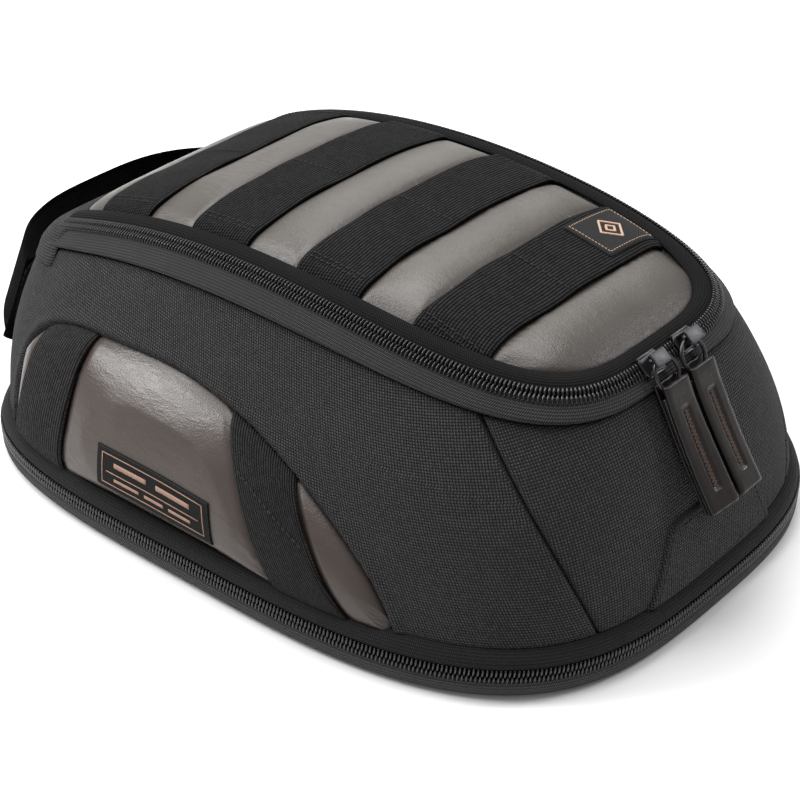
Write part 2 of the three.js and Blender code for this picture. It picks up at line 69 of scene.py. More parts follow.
# ---- Driving dimensions, in millimetres ----------------------------------------------------------
_, BASE_HIGH = size("base_zip_teeth")
TEETH_PROUD = 1.0
HALF_LENGTH = BASE_HIGH[1] - TEETH_PROUD
HALF_WIDTH = 0.8 * HALF_LENGTH
COIL_Z = BASE_HIGH[2] + 0.2
SEAM_Z = COIL_Z + 8.3
LID_HALF = 67.8
LID_MIDDLE = 28.8
LID_FRONT = 113.0
LID_REAR = 147.0
BULGE = 5.0
ZIP_TILT = math.radians(40)
ZIP_END = 138.0
TOOTH_PITCH = 1.55
FRONT_SEAM = 129.0
REAR_SEAM_FOOT, REAR_SEAM_HEAD = 241.0, 222.0
STRAP_MIDDLES = (97.0, 43.0, -12.0, -66.0)
WEBBING = 30.0
WEB_THICK = 1.4
PAD_EDGE = 9.6
INSET_FROM, INSET_TO = 141.0, 211.5
INSET_HEIGHT = 0.68
INSET_PEAK = 0.35
LABEL_FROM, LABEL_TO = 162.6, 185.1
LABEL_FOOT, LABEL_RISE = 0.1, 0.28
SIDE_PRESSURE, SIDE_TRAVEL = 600.0, 2.2
LID_PRESSURE, LID_TRAVEL = 1600.0, 3.2
HANDLE_HALF, HANDLE_BOW = 66.4, 35.2
HANDLE_ROOT, HANDLE_TOP, HANDLE_HEIGHT = 149.2, 59.0, 38.0
POCKET_HALF, POCKET_FROM, POCKET_LENGTH = 46.0, -88.0, 120.0
UP = np.array([0, 0, 1.0])
RIGHT = np.array([1.0, 0, 0])

# An outline's square holds how squared its front and its rear corners are.
BASE = dict(half=HALF_WIDTH, middle=0.0, front=HALF_LENGTH, rear=HALF_LENGTH, square=(3.94, 3.17), taper=0.063)
ZIP = dict(half=LID_HALF, middle=LID_MIDDLE, front=LID_FRONT, rear=LID_REAR, square=(8.0, 3.8), taper=0.0)


# ---- Outlines and surfaces -----------------------------------------------------------------------
def outline(shape, angle, grow=0.0):
    """Points of a rounded outline at angles in radians, and its outward directions."""
    def place(a):
        c, s = np.cos(a), np.sin(a)
        power = np.where(s >= 0, *shape["square"])
        length = np.where(s >= 0, shape["front"], shape["rear"])
        reach = (np.abs(c) ** power + np.abs(s) ** power) ** (-1 / power)
        y = length * reach * s
        x = shape["half"] * (1 + shape["taper"] * y / length) * reach * c
        return np.stack([x, y + shape["middle"]], -1)
    angle = np.asarray(angle, float)
    along = place(angle + 1e-3) - place(angle - 1e-3)
    out = np.stack([along[..., 1], -along[..., 0]], -1)
    out /= np.linalg.norm(out, axis=-1, keepdims=True)
    return place(angle) + out * grow, out


def zip_height(y):
    """The height of the main zip's line, which runs down towards both ends."""
    return 105.6 + 0.0018 * y - 1.035e-3 * y ** 2 - 2.82e-6 * y ** 3


def zip_frame(angle):
    """The main zip's line: its points, the direction across it (out and down) and the way its teeth face."""
    xy, out = outline(ZIP, angle)
    at = np.concatenate([xy, zip_height(xy[..., 1:])], -1)
    flat = np.ones_like(xy[..., :1])
    side = np.concatenate([out * math.cos(ZIP_TILT), -math.sin(ZIP_TILT) * flat], -1)
    top = np.concatenate([out * math.sin(ZIP_TILT), math.cos(ZIP_TILT) * flat], -1)
    return at, side, top


def base_frame(angle, z=0.0):
    """The base's edge at a height: its points, its outward direction and up."""
    xy, out = outline(BASE, angle)
    zero = np.zeros_like(xy[..., :1])
    return (np.concatenate([xy, zero + z], -1), np.concatenate([out, zero], -1),
            np.concatenate([zero, zero, zero + 1], -1))


def tape_width(angle):
    return 7 + 4.5 * np.cos(angle)[..., None] ** 2


def wall(degrees, rise):
    """The body's outer wall: degrees round the bag, and rise 0 at its foot, 1 at the zip tape."""
    angle = np.radians(np.asarray(degrees, float))
    rise = np.asarray(rise, float)[..., None]
    foot, out, _ = base_frame(angle, SEAM_Z)
    at, side, top = zip_frame(angle)
    head = at + side * tape_width(angle) - 2.6 * top
    return (foot - 4.5 * out) * (1 - rise) + head * rise + out * (BULGE * 4 * rise * (1 - rise))


def lid_top(x, y):
    """The height of the lid's canvas, a soft crown inside the zip."""
    return zip_height(y) - 3.4 + 5.4 * (1 - reach_of(shrunk(5.5, 1), x, y) ** 3)


def shrunk(edge, front_edge=None):
    """The zip's outline drawn in at its sides and rear, and by another amount at its front."""
    front_edge = edge if front_edge is None else front_edge
    return dict(ZIP, half=ZIP["half"] - edge, front=ZIP["front"] - front_edge, rear=ZIP["rear"] - edge)


def reach_of(shape, x, y):
    """0 at an outline's middle and 1 on it."""
    power = np.where(y >= shape["middle"], *shape["square"])
    length = np.where(y >= shape["middle"], shape["front"], shape["rear"])
    return (np.abs(x / shape["half"]) ** power + np.abs((y - shape["middle"]) / length) ** power) ** (1 / power)


def spread_over(shape, columns, rows):
    """The unit square spread over an outline, as x, y and reach grids."""
    s, t = np.meshgrid(np.linspace(-1, 1, columns), np.linspace(-1, 1, rows))
    reach = np.maximum(np.abs(s), np.abs(t))
    xy, _ = outline(shape, np.arctan2(t, s))
    x = xy[..., 0] * reach
    y = (xy[..., 1] - shape["middle"]) * reach + shape["middle"]
    return x, y, reach


# ---- Small shape helpers -------------------------------------------------------------------------
def smooth(t):
    """An eased step from 0 to 1."""
    t = np.clip(t, 0, 1)
    return t * t * (3 - 2 * t)


def rolled(distance, radius):
    """How far a rolled edge has dropped, at a distance in from it."""
    t = np.clip(distance / radius, 0, 1)
    return radius * (np.sqrt(np.clip(1 - (1 - t) ** 2, 0, 1)) - 1)


def normals(grid, ring=False):
    """A grid's outward directions. With ring, its columns go all the way round."""
    if ring:
        padded = np.concatenate([grid[:, -2:-1], grid, grid[:, 1:2]], 1)
        du = np.gradient(padded, axis=1)[:, 1:-1]
    else:
        du = np.gradient(grid, axis=1)
    dv = np.gradient(grid, axis=0)
    n = np.cross(du, dv)
    return n / np.maximum(np.linalg.norm(n, axis=-1, keepdims=True), 1e-9)


def lengths(grid, axis):
    """Distances along a grid's rows (axis 1) or columns (axis 0), from its first point."""
    step = np.linalg.norm(np.diff(grid, axis=axis), axis=-1)
    zero = np.zeros_like(np.take(step, [0], axis=axis))
    return np.concatenate([zero, np.cumsum(step, axis=axis)], axis=axis)


def edge_distance(grid, sides=True, ends=True):
    """Distance in from a grid's first and last rows (sides) and columns (ends)."""
    along, up = lengths(grid, 1), lengths(grid, 0)
    far = np.full(grid.shape[:2], 1e3)
    if ends:
        far = np.minimum(far, np.minimum(along, along[:, -1:] - along))
    if sides:
        far = np.minimum(far, np.minimum(up, up[-1:] - up))
    return far


def ripples(grid, wave, depth, seed):
    """Soft random swells of about one wavelength, from a few sine waves with fixed directions."""
    source = np.random.default_rng(seed)
    total = np.zeros(grid.shape[:-1])
    for _ in range(7):
        direction = source.normal(size=3)
        direction /= np.linalg.norm(direction)
        turns = 2 * math.pi / (wave * source.uniform(0.7, 1.6))
        total += np.sin(grid @ direction * turns + source.uniform(0, 6.3))
    return total * depth / 3.5


def finer(grid, rows, columns):
    """A smooth finer copy of a grid, with its edges kept."""
    def along(values, count):
        last = len(values) - 1
        t = np.linspace(0, last, count)
        i = np.clip(t.astype(int), 0, last - 1)
        f = (t - i).reshape((-1,) + (1,) * (values.ndim - 1))
        a, b, c, d = (values[np.clip(i + k, 0, last)] for k in (-1, 0, 1, 2))
        return b + 0.5 * f * (c - a + f * (2 * a - 5 * b + 4 * c - d + f * (3 * (b - c) + d - a)))
    return np.swapaxes(along(np.swapaxes(along(grid, rows), 0, 1), columns), 0, 1)


def puffed(top, held, pressure, most, depth=3.0):
    """How far a closed skin moves when it is blown up between its held places, by cloth simulation."""
    out = normals(top)
    trial = sheet_piece("puff_trial", top, top - out * depth, CANVAS)
    group = trial.vertex_groups.new(name="held")
    for i, weight in enumerate(np.concatenate([held.ravel(), np.ones(held.size)]).tolist()):
        if weight > 0:
            group.add([i], weight, "REPLACE")
    cloth_maker = trial.modifiers.new("cloth", "CLOTH")
    settings = cloth_maker.settings
    settings.quality = 6
    settings.mass = 0.1
    settings.tension_stiffness = settings.compression_stiffness = 5
    settings.shear_stiffness = 4
    settings.bending_stiffness = 0.1
    settings.use_pressure = True
    settings.uniform_pressure_force = pressure
    settings.vertex_group_mass = "held"
    settings.effector_weights.gravity = 0
    for number in range(1, 21):
        bpy.context.scene.frame_set(number)
    shape = trial.evaluated_get(bpy.context.evaluated_depsgraph_get()).to_mesh()
    points = np.empty(len(shape.vertices) * 3)
    shape.vertices.foreach_get("co", points)
    moved = points.reshape(-1, 3)[:held.size].reshape(top.shape) / MM - top
    bpy.data.objects.remove(trial)
    bpy.context.scene.frame_set(1)
    travel = np.linalg.norm(moved, axis=-1, keepdims=True)
    return moved * np.minimum(1, most / np.maximum(travel, 1e-6))


def placed(name, mesh):
    """A piece made from a mesh and put in the scene."""
    piece = bpy.data.objects.new(name, mesh)
    bpy.context.scene.collection.objects.link(piece)
    return piece


def finish_mesh(name, points, faces, material, uv=None, marks=None):
    """A smooth piece from points in millimetres, with its thread directions and its marks."""
    mesh = bpy.data.meshes.new(name)
    mesh.from_pydata((np.asarray(points, float).reshape(-1, 3) * MM).tolist(), [], faces)
    mesh.validate()
    if uv is not None:
        layer = mesh.uv_layers.new(name="Threads")
        corner = np.empty(len(mesh.loops), np.int32)
        mesh.loops.foreach_get("vertex_index", corner)
        layer.data.foreach_set("uv", (np.asarray(uv, float).reshape(-1, 2) * MM)[corner].ravel())
    for key, values in (marks or {}).items():
        attribute = mesh.attributes.new(key, "FLOAT", "POINT")
        attribute.data.foreach_set("value", np.asarray(values, np.float32).ravel())
    mesh.polygons.foreach_set("use_smooth", [True] * len(mesh.polygons))
    mesh.materials.append(material)
    return placed(name, mesh)


def grid_faces(rows, columns, start=0, flip=False, wrap=False):
    """The faces of a grid of points that begins at a number. With wrap, its columns go all the way round."""
    faces = []
    across = columns if wrap else columns - 1
    for j in range(rows - 1):
        for i in range(across):
            a, b = start + j * columns + i, start + j * columns + (i + 1) % columns
            face = (a, b, b + columns, a + columns)
            faces.append(face[::-1] if flip else face)
    return faces


def sheet_piece(name, outer, inner, material, wrap=False, marks=None):
    """A closed sheet between two grids of points. With wrap, its columns go all the way round."""
    rows, columns = outer.shape[:2]
    count = rows * columns
    faces = grid_faces(rows, columns, 0, False, wrap) + grid_faces(rows, columns, count, True, wrap)
    across = columns if wrap else columns - 1
    for i in range(across):
        k = (i + 1) % columns
        last = (rows - 1) * columns
        faces.append((count + i, count + k, k, i))
        faces.append((last + i, last + k, count + last + k, count + last + i))
    if not wrap:
        for j in range(rows - 1):
            a, b = j * columns, (j + 1) * columns
            faces.append((a, b, count + b, count + a))
            faces.append((a + columns - 1, count + a + columns - 1, count + b + columns - 1, b + columns - 1))
    along, up = lengths(outer, 1), lengths(outer, 0)
    middle = along[:, columns // 2][:, None]
    uv = np.stack([along - middle, up], -1)
    both = {key: np.concatenate([np.ravel(v), np.ravel(v)]) for key, v in (marks or {}).items()}
    return finish_mesh(name, np.concatenate([outer.reshape(-1, 3), inner.reshape(-1, 3)]), faces, material,
                       np.concatenate([uv.reshape(-1, 2)] * 2), both)


def swept(name, at, side, top, section, material, wrap=False):
    """A closed section, points of [along side, along top], carried along a line."""
    ring = np.asarray(section, float)
    if ring.ndim == 2:
        ring = np.broadcast_to(ring, (len(at),) + ring.shape)
    grid = at[:, None] + side[:, None] * ring[..., :1] + top[:, None] * ring[..., 1:]
    stations, around = grid.shape[:2]
    faces = []
    for i in range(stations if wrap else stations - 1):
        k = (i + 1) % stations
        for j in range(around):
            n = (j + 1) % around
            faces.append((i * around + j, k * around + j, k * around + n, i * around + n))
    if not wrap:
        faces.append(tuple(range(around))[::-1])
        faces.append(tuple((stations - 1) * around + j for j in range(around)))
    along = np.broadcast_to(lengths(grid, 0)[:, :1], (stations, around))
    uv = np.stack([along, lengths(grid, 1)], -1)
    piece = finish_mesh(name, grid, faces, material, uv)
    outward(piece)
    return piece


def outward(piece):
    """Turns every face of a closed mesh to face out."""
    mesh = bmesh.new()
    mesh.from_mesh(piece.data)
    bmesh.ops.recalc_face_normals(mesh, faces=mesh.faces)
    mesh.to_mesh(piece.data)
    mesh.free()


def copies(name, template, faces, at, axes, material):
    """Many copies of a small solid, each on its own frame: axes holds its three directions."""
    template = np.asarray(template, float)
    points = at[:, None] + np.einsum("pk,nkd->npd", template, axes)
    count = len(template)
    everything = [tuple(v + i * count for v in f) for i in range(len(at)) for f in faces]
    return finish_mesh(name, points, everything, material)


def rounded_bar(length, width, height, sides=6, rings=5):
    """A small bar with round ends along the second axis, for teeth and stitches."""
    points, faces = [], []
    for i in range(rings):
        t = math.pi * i / (rings - 1)
        y, shrink = -math.cos(t) * length / 2, max(math.sin(t), 0.25) ** 0.5
        for j in range(sides):
            a = 2 * math.pi * j / sides
            points.append((math.cos(a) * width / 2 * shrink, y, math.sin(a) * height / 2 * shrink))
    for i in range(rings - 1):
        for j in range(sides):
            n = (j + 1) % sides
            faces.append((i * sides + j, i * sides + n, (i + 1) * sides + n, (i + 1) * sides + j))
    faces.append(tuple(range(sides))[::-1])
    faces.append(tuple((rings - 1) * sides + j for j in range(sides)))
    return points, faces


def stitched(name, paths, pitch, length, width, material):
    """Rows of stitches: each path is its points and the outward directions there."""
    spots = []
    for path, out in paths:
        path, out = np.asarray(path, float), np.broadcast_to(np.asarray(out, float), np.shape(path))
        travel = lengths(path[None], 1)[0]
        count = max(1, int(travel[-1] / pitch))
        where = (np.arange(count) + 0.5) * travel[-1] / count
        def read(values, w):
            return np.stack([np.interp(w, travel, values[:, k]) for k in range(3)], -1)
        ahead = read(path, where + 0.2) - read(path, where - 0.2)
        ahead /= np.linalg.norm(ahead, axis=-1, keepdims=True)
        up = read(out, where)
        spots.append((read(path, where), np.stack([np.cross(ahead, up), ahead, up], 1)))
    bar, faces = rounded_bar(length, width, width * 0.8)
    at, axes = (np.concatenate(part) for part in zip(*spots))
    piece = copies(name, bar, faces, at, axes, material)
    outward(piece)
    return piece


def bars_on(name, surface, boxes, lift, thick, material, steps=8):
    """Flat bars that follow a surface, which gives points and outward directions. Each box is u0, u1, v0, v1."""
    points, faces = [], []
    for u0, u1, v0, v1 in boxes:
        v, u = np.meshgrid(np.linspace(v0, v1, 3), np.linspace(u0, u1, steps), indexing="ij")
        at, out = surface(u, v)
        start = len(points) * 6 * steps
        foot, head = at + out * lift, at + out * (lift + thick)
        points.append(np.concatenate([foot.reshape(-1, 3), head.reshape(-1, 3)]))
        faces += grid_faces(3, steps, start, True) + grid_faces(3, steps, start + 3 * steps)
        back = range(3 * steps - 2, 2 * steps - 1, -1)
        rim = [*range(steps), 2 * steps - 1, 3 * steps - 1, *back, steps]
        for k, a in enumerate(rim):
            b = rim[(k + 1) % len(rim)]
            faces.append((start + a, start + b, start + b + 3 * steps, start + a + 3 * steps))
    piece = finish_mesh(name, np.concatenate(points), faces, material)
    outward(piece)
    return piece


def tube(name, line, radius, material, wrap=True, sides=10):
    """A round wire along a line of points."""
    line = np.asarray(line, float)
    ahead = np.roll(line, -1, 0) - np.roll(line, 1, 0) if wrap else np.gradient(line, axis=0)
    ahead /= np.linalg.norm(ahead, axis=-1, keepdims=True)
    flat = np.linalg.svd(line - line.mean(0))[2][2]
    side = np.broadcast_to(flat, line.shape)
    top = np.cross(ahead, side)
    turn = np.linspace(0, 2 * math.pi, sides + 1)[:-1]
    section = np.stack([radius * np.cos(turn), radius * np.sin(turn)], -1)
    return swept(name, line, side, top, section, material, wrap)


def merged(name, pieces):
    """One piece made of several."""
    whole = bmesh.new()
    for piece in pieces:
        whole.from_mesh(piece.data)
    mesh = bpy.data.meshes.new(name)
    whole.to_mesh(mesh)
    whole.free()
    mesh.materials.append(pieces[0].data.materials[0])
    for piece in pieces:
        bpy.data.objects.remove(piece)
    return placed(name, mesh)


def block(name, outline_points, low, high, bevel, material, place):
    """A plate of an outline between two heights, its edges rounded over, set by a placing function."""
    shape = bmesh.new()
    ring = [shape.verts.new((x, y, low)) for x, y in outline_points]
    face = shape.faces.new(ring)
    risen = bmesh.ops.extrude_face_region(shape, geom=[face])
    for vertex in risen["geom"]:
        if isinstance(vertex, bmesh.types.BMVert):
            vertex.co.z = high
    bmesh.ops.recalc_face_normals(shape, faces=shape.faces)
    bmesh.ops.bevel(shape, geom=list(shape.edges), offset=bevel, segments=3, profile=0.5, affect="EDGES")
    mesh = bpy.data.meshes.new(name)
    shape.to_mesh(mesh)
    shape.free()
    points = np.empty(len(mesh.vertices) * 3)
    mesh.vertices.foreach_get("co", points)
    mesh.vertices.foreach_set("co", (place(points.reshape(-1, 3)) * MM).ravel())
    mesh.polygons.foreach_set("use_smooth", [True] * len(mesh.polygons))
    mesh.materials.append(material)
    return placed(name, mesh)


def rounded_outline(width, height, radius, steps=5, at=(0, 0)):
    """A rectangle round a place, with round corners."""
    corners = []
    for k, (sx, sy) in enumerate(((1, 1), (-1, 1), (-1, -1), (1, -1))):
        for t in np.linspace(k * math.pi / 2, (k + 1) * math.pi / 2, steps):
            x = sx * (width / 2 - radius) + radius * math.cos(t)
            y = sy * (height / 2 - radius) + radius * math.sin(t)
            corners.append((at[0] + x, at[1] + y))
    return corners


def mirror_of(piece, name):
    """The same piece on the bag's other side."""
    mesh = piece.data.copy()
    mesh.name = name
    mesh.transform(Matrix.Scale(-1, 4, (1, 0, 0)))
    mesh.flip_normals()
    return placed(name, mesh)


def fit_out(piece, body, slot, *nodes):
    """Puts a finished piece on its body and hides the plain solids that it stands for. Its slot is not used."""
    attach(piece, body)
    if nodes:
        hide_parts(*nodes)
    return piece


# ---- Materials -----------------------------------------------------------------------------------
def put(tree, kind, inputs=None, **settings):
    """A shader node with its inputs linked or set."""
    node = tree.nodes.new("ShaderNode" + kind)
    for key, value in settings.items():
        setattr(node, key, value)
    for key, value in (inputs or {}).items():
        if isinstance(value, bpy.types.NodeSocket):
            tree.links.new(value, node.inputs[key])
        else:
            node.inputs[key].default_value = value
    return node


def maths(tree, operation, *values):
    return put(tree, "Math", dict(enumerate(values)), operation=operation).outputs[0]


def effect(name, inputs, outputs):
    """An empty node group with named inputs and outputs."""
    tree = bpy.data.node_groups.new(name, "ShaderNodeTree")
    for key, value in inputs.items():
        socket = tree.interface.new_socket(key, in_out="INPUT", socket_type="NodeSocketFloat")
        socket.default_value = value
    for key in outputs:
        tree.interface.new_socket(key, in_out="OUTPUT", socket_type="NodeSocketFloat")
    source = tree.nodes.new("NodeGroupInput").outputs
    return tree, source, tree.nodes.new("NodeGroupOutput").inputs


def weave_group(name, pitch):
    """A weave's empty group, and its two directions counted in threads."""
    tree, source, result = effect(name, {"Across": 0, "Along": 0, "Pitch": pitch}, ("Height", "Fleck"))
    u = maths(tree, "DIVIDE", source["Across"], source["Pitch"])
    v = maths(tree, "DIVIDE", source["Along"], source["Pitch"])
    return tree, result, u, v


def fleck_each_crossing(tree, result, u, v):
    cell = put(tree, "CombineXYZ", {0: maths(tree, "FLOOR", u), 1: maths(tree, "FLOOR", v)})
    noise = put(tree, "TexWhiteNoise", {"Vector": cell.outputs[0]}, noise_dimensions="2D")
    tree.links.new(noise.outputs["Value"], result["Fleck"])


def plain_weave():
    """Crossing threads: Height is their relief and Fleck a random tone for each crossing."""
    tree, result, u, v = weave_group("plain_weave", 0.0009)
    su = maths(tree, "SINE", maths(tree, "MULTIPLY", u, math.pi))
    sv = maths(tree, "SINE", maths(tree, "MULTIPLY", v, math.pi))
    over = maths(tree, "GREATER_THAN", maths(tree, "MULTIPLY", su, sv), 0.0)
    wide = maths(tree, "ADD", maths(tree, "MULTIPLY", over, 1.2), 0.5)
    tall = maths(tree, "SUBTRACT", 2.2, wide)
    across = maths(tree, "POWER", maths(tree, "ABSOLUTE", su), wide)
    along = maths(tree, "POWER", maths(tree, "ABSOLUTE", sv), tall)
    tree.links.new(maths(tree, "MULTIPLY", across, along), result["Height"])
    fleck_each_crossing(tree, result, u, v)
    return tree


def rib_weave():
    """Webbing: ribs along its length with a fine slanting cross thread."""
    tree, result, u, v = weave_group("rib_weave", 0.0012)
    rib = maths(tree, "ABSOLUTE", maths(tree, "SINE", maths(tree, "MULTIPLY", u, math.pi)))
    slant = maths(tree, "ADD", maths(tree, "MULTIPLY", v, 2 * math.pi), maths(tree, "MULTIPLY", u, math.pi * 0.5))
    thread = maths(tree, "MULTIPLY_ADD", maths(tree, "SINE", slant), 0.5, 0.5)
    height = maths(tree, "MULTIPLY_ADD", maths(tree, "MULTIPLY", thread, rib), 0.45, maths(tree, "MULTIPLY", rib, 0.6))
    tree.links.new(height, result["Height"])
    fleck_each_crossing(tree, result, u, v)
    return tree


def fine_twill():
    """The zip tapes' and bindings' close diagonal cloth."""
    tree, result, u, v = weave_group("fine_twill", 0.0006)
    slanting = maths(tree, "ADD", u, maths(tree, "MULTIPLY", v, 0.55))
    diagonal = maths(tree, "SINE", maths(tree, "MULTIPLY", slanting, math.pi))
    cross = maths(tree, "SINE", maths(tree, "MULTIPLY", v, 1.3 * math.pi))
    both = maths(tree, "MULTIPLY", maths(tree, "ABSOLUTE", diagonal), maths(tree, "MULTIPLY_ADD", cross, 0.35, 0.65))
    tree.links.new(both, result["Height"])
    place = put(tree, "CombineXYZ", {0: u, 1: v})
    noise = put(tree, "TexNoise", {"Vector": place.outputs[0], "Scale": 0.9, "Detail": 2.0})
    tree.links.new(noise.outputs["Fac"], result["Fleck"])
    return tree


def leather_grain():
    """Pores and fine creases from the place in the piece; Tone drifts slowly over the hide."""
    tree, source, result = effect("leather_grain", {"Grain": 900.0, "Crease": 90.0}, ("Height", "Tone"))
    place = put(tree, "TexCoord").outputs["Object"]
    pores = put(tree, "TexVoronoi", {"Vector": place, "Scale": source["Grain"]}, feature="DISTANCE_TO_EDGE")
    cells = maths(tree, "MINIMUM", maths(tree, "MULTIPLY", pores.outputs["Distance"], 3.0), 1.0)
    stretch = put(tree, "Mapping", {"Vector": place, "Scale": (1.0, 0.35, 1.0)}).outputs[0]
    crease = put(tree, "TexNoise", {"Vector": stretch, "Scale": source["Crease"], "Detail": 6.0, "Roughness": 0.65})
    lines = maths(tree, "ABSOLUTE", maths(tree, "SUBTRACT", crease.outputs["Fac"], 0.5))
    folds = maths(tree, "MINIMUM", maths(tree, "MULTIPLY", lines, 9.0), 1.0)
    height = maths(tree, "MULTIPLY_ADD", folds, 0.55, maths(tree, "MULTIPLY", cells, 0.25))
    tree.links.new(height, result["Height"])
    drift = put(tree, "TexNoise", {"Vector": place, "Scale": 22.0, "Detail": 4.0, "Roughness": 0.55})
    tree.links.new(drift.outputs["Fac"], result["Tone"])
    return tree


def rubbed():
    """Where the surface is rubbed or dusty: a cloudy mask, stronger where Edge is."""
    tree, source, result = effect("rubbed", {"Edge": 0.0, "Scale": 60.0}, ("Mask",))
    place = put(tree, "TexCoord").outputs["Object"]
    cloud = put(tree, "TexNoise", {"Vector": place, "Scale": source["Scale"], "Detail": 5.0, "Roughness": 0.6})
    cloudy = maths(tree, "ADD", cloud.outputs["Fac"], maths(tree, "MULTIPLY", source["Edge"], 0.35))
    level = maths(tree, "SUBTRACT", cloudy, 0.5)
    tree.links.new(put(tree, "Clamp", {0: maths(tree, "MULTIPLY", level, 2.5)}).outputs[0], result["Mask"])
    return tree


WEAVES = {"plain": plain_weave(), "rib": rib_weave(), "twill": fine_twill()}
GRAIN = leather_grain()
RUBBED = rubbed()


def material(name):
    """A new material, its nodes and its shader."""
    made = bpy.data.materials.new(name)
    made.use_nodes = True
    return made, made.node_tree, made.node_tree.nodes["Principled BSDF"]


def tone(tree, factor, low, high):
    """A colour between two, by a factor that changes over the surface."""
    ramp = put(tree, "Mix", {0: factor, 6: (*low, 1), 7: (*high, 1)}, data_type="RGBA")
    return ramp.outputs[2]


def relief(tree, shader, height, distance, strength=1.0):
    bump = put(tree, "Bump", {"Height": height, "Distance": distance, "Strength": strength})
    tree.links.new(bump.outputs[0], shader.inputs["Normal"])


def cloth(name, weave, pitch, dark, light, depth, roughness=0.85, sheen=0.25, turn=False, shine=0.15):
    """A woven material: dark is the gaps' colour and light the brightest thread's."""
    made, tree, shader = material(name)
    split = put(tree, "SeparateXYZ", {0: put(tree, "UVMap", uv_map="Threads").outputs[0]}).outputs
    u, v = (split[1], split[0]) if turn else (split[0], split[1])
    threads = put(tree, "Group", node_tree=WEAVES[weave])
    tree.links.new(u, threads.inputs["Across"])
    tree.links.new(v, threads.inputs["Along"])
    threads.inputs["Pitch"].default_value = pitch
    wear = put(tree, "Group", node_tree=RUBBED).outputs["Mask"]
    fleck = maths(tree, "MULTIPLY_ADD", threads.outputs["Fleck"], 0.26, maths(tree, "MULTIPLY_ADD", wear, 0.16, 0.42))
    lit = maths(tree, "MULTIPLY", maths(tree, "MULTIPLY_ADD", threads.outputs["Height"], 0.95, 0.03), fleck)
    shown = put(tree, "Clamp", {0: maths(tree, "MULTIPLY", lit, 1.7)}).outputs[0]
    tree.links.new(tone(tree, shown, dark, light), shader.inputs["Base Color"])
    rough = maths(tree, "MULTIPLY_ADD", threads.outputs["Height"], -0.12, roughness)
    tree.links.new(rough, shader.inputs["Roughness"])
    relief(tree, shader, threads.outputs["Height"], depth)
    shader.inputs["Sheen Weight"].default_value = sheen
    shader.inputs["Sheen Roughness"].default_value = 0.5
    shader.inputs["Specular IOR Level"].default_value = shine
    return made


def hide(name, dark, light, edge, roughness=0.42, grain=900.0, crease=90.0, depth=0.00026, shine=0.45):
    """Leather. Its mark "edge", 0 to 1, is painted shade: the colour deepens towards the edge colour along rolled
    edges.
    """
    made, tree, shader = material(name)
    skin = put(tree, "Group", {"Grain": grain, "Crease": crease}, node_tree=GRAIN)
    rim = put(tree, "Attribute", attribute_name="edge").outputs["Fac"]
    wear = put(tree, "Group", {"Edge": rim, "Scale": 45.0}, node_tree=RUBBED).outputs["Mask"]
    body = tone(tree, skin.outputs["Tone"], dark, light)
    # Painted shade: the edge mark darkens the leather towards its edge colour along rolled edges and beside parts laid
    # over it.
    edge_shade = put(tree, "Mix", {0: maths(tree, "MULTIPLY", rim, 0.85), 6: body, 7: (*edge, 1)}, data_type="RGBA")
    tree.links.new(edge_shade.outputs[2], shader.inputs["Base Color"])
    smoother = maths(tree, "MULTIPLY_ADD", skin.outputs["Height"], -0.08, roughness)
    rough = maths(tree, "MULTIPLY_ADD", wear, 0.12, smoother)
    tree.links.new(rough, shader.inputs["Roughness"])
    relief(tree, shader, skin.outputs["Height"], depth, 0.8)
    shader.inputs["Specular IOR Level"].default_value = shine
    return made


def solid_finish(name, low, high, roughness, metallic=0.0, scale=300.0, depth=0.00003, coat=0.0):
    """Plastic, metal, foam or thread with a fine mottled tone and relief."""
    made, tree, shader = material(name)
    place = put(tree, "TexCoord").outputs["Object"]
    noise = put(tree, "TexNoise", {"Vector": place, "Scale": scale, "Detail": 4.0})
    wear = put(tree, "Group", {"Scale": 120.0}, node_tree=RUBBED).outputs["Mask"]
    tree.links.new(tone(tree, noise.outputs["Fac"], low, high), shader.inputs["Base Color"])
    tree.links.new(maths(tree, "MULTIPLY_ADD", wear, 0.12, roughness), shader.inputs["Roughness"])
    shader.inputs["Metallic"].default_value = metallic
    shader.inputs["Coat Weight"].default_value = coat
    relief(tree, shader, noise.outputs["Fac"], depth)
    return made


CANVAS = cloth("charcoal_canvas", "plain", 0.00115, (0.004, 0.004, 0.0045), (0.074, 0.074, 0.076), 0.0007, 0.85, 0.03)
TAPE = cloth("zip_tape_cloth", "twill", 0.00075, (0.005, 0.005, 0.0053), (0.066, 0.064, 0.064), 0.00035, 0.75, 0.03)
# The lid's tape is a darker copy of the zip tape cloth: painted shade, since its face turns up to the light.
SHADED_LID_TAPE = cloth("lid_tape_cloth_painted_shade", "twill", 0.00075, (0.003, 0.003, 0.003), (0.019, 0.0185, 0.0185), 0.00035, 0.85, 0.01,
                 shine=0.06)
BASE_TAPE = cloth("base_tape_cloth", "twill", 0.00075, (0.004, 0.004, 0.004), (0.026, 0.025, 0.025), 0.00035, 0.8, 0.02)
BAND = cloth("edge_band_cloth", "twill", 0.0008, (0.008, 0.008, 0.0085), (0.110, 0.109, 0.110), 0.00035, 0.85, 0.03)
WEB = cloth("ribbed_webbing", "rib", 0.0013, (0.0015, 0.0014, 0.0015), (0.044, 0.042, 0.042), 0.0006, 0.8, 0.01,
            shine=0.06)
WEB_ACROSS = cloth("ribbed_webbing_across", "rib", 0.0013, (0.0015, 0.0014, 0.0015), (0.033, 0.032, 0.032), 0.0006, 0.85,
                   0.0, turn=True, shine=0.04)
GRIP = cloth("black_grip_webbing", "rib", 0.0015, (0.0005, 0.0005, 0.0005), (0.0032, 0.0029, 0.003), 0.0003, 1.0, 0.0,
             shine=0.02)
LABEL = cloth("black_label_cloth", "twill", 0.0004, (0.003, 0.003, 0.003), (0.012, 0.0115, 0.011), 0.0001, 0.8, 0.02)
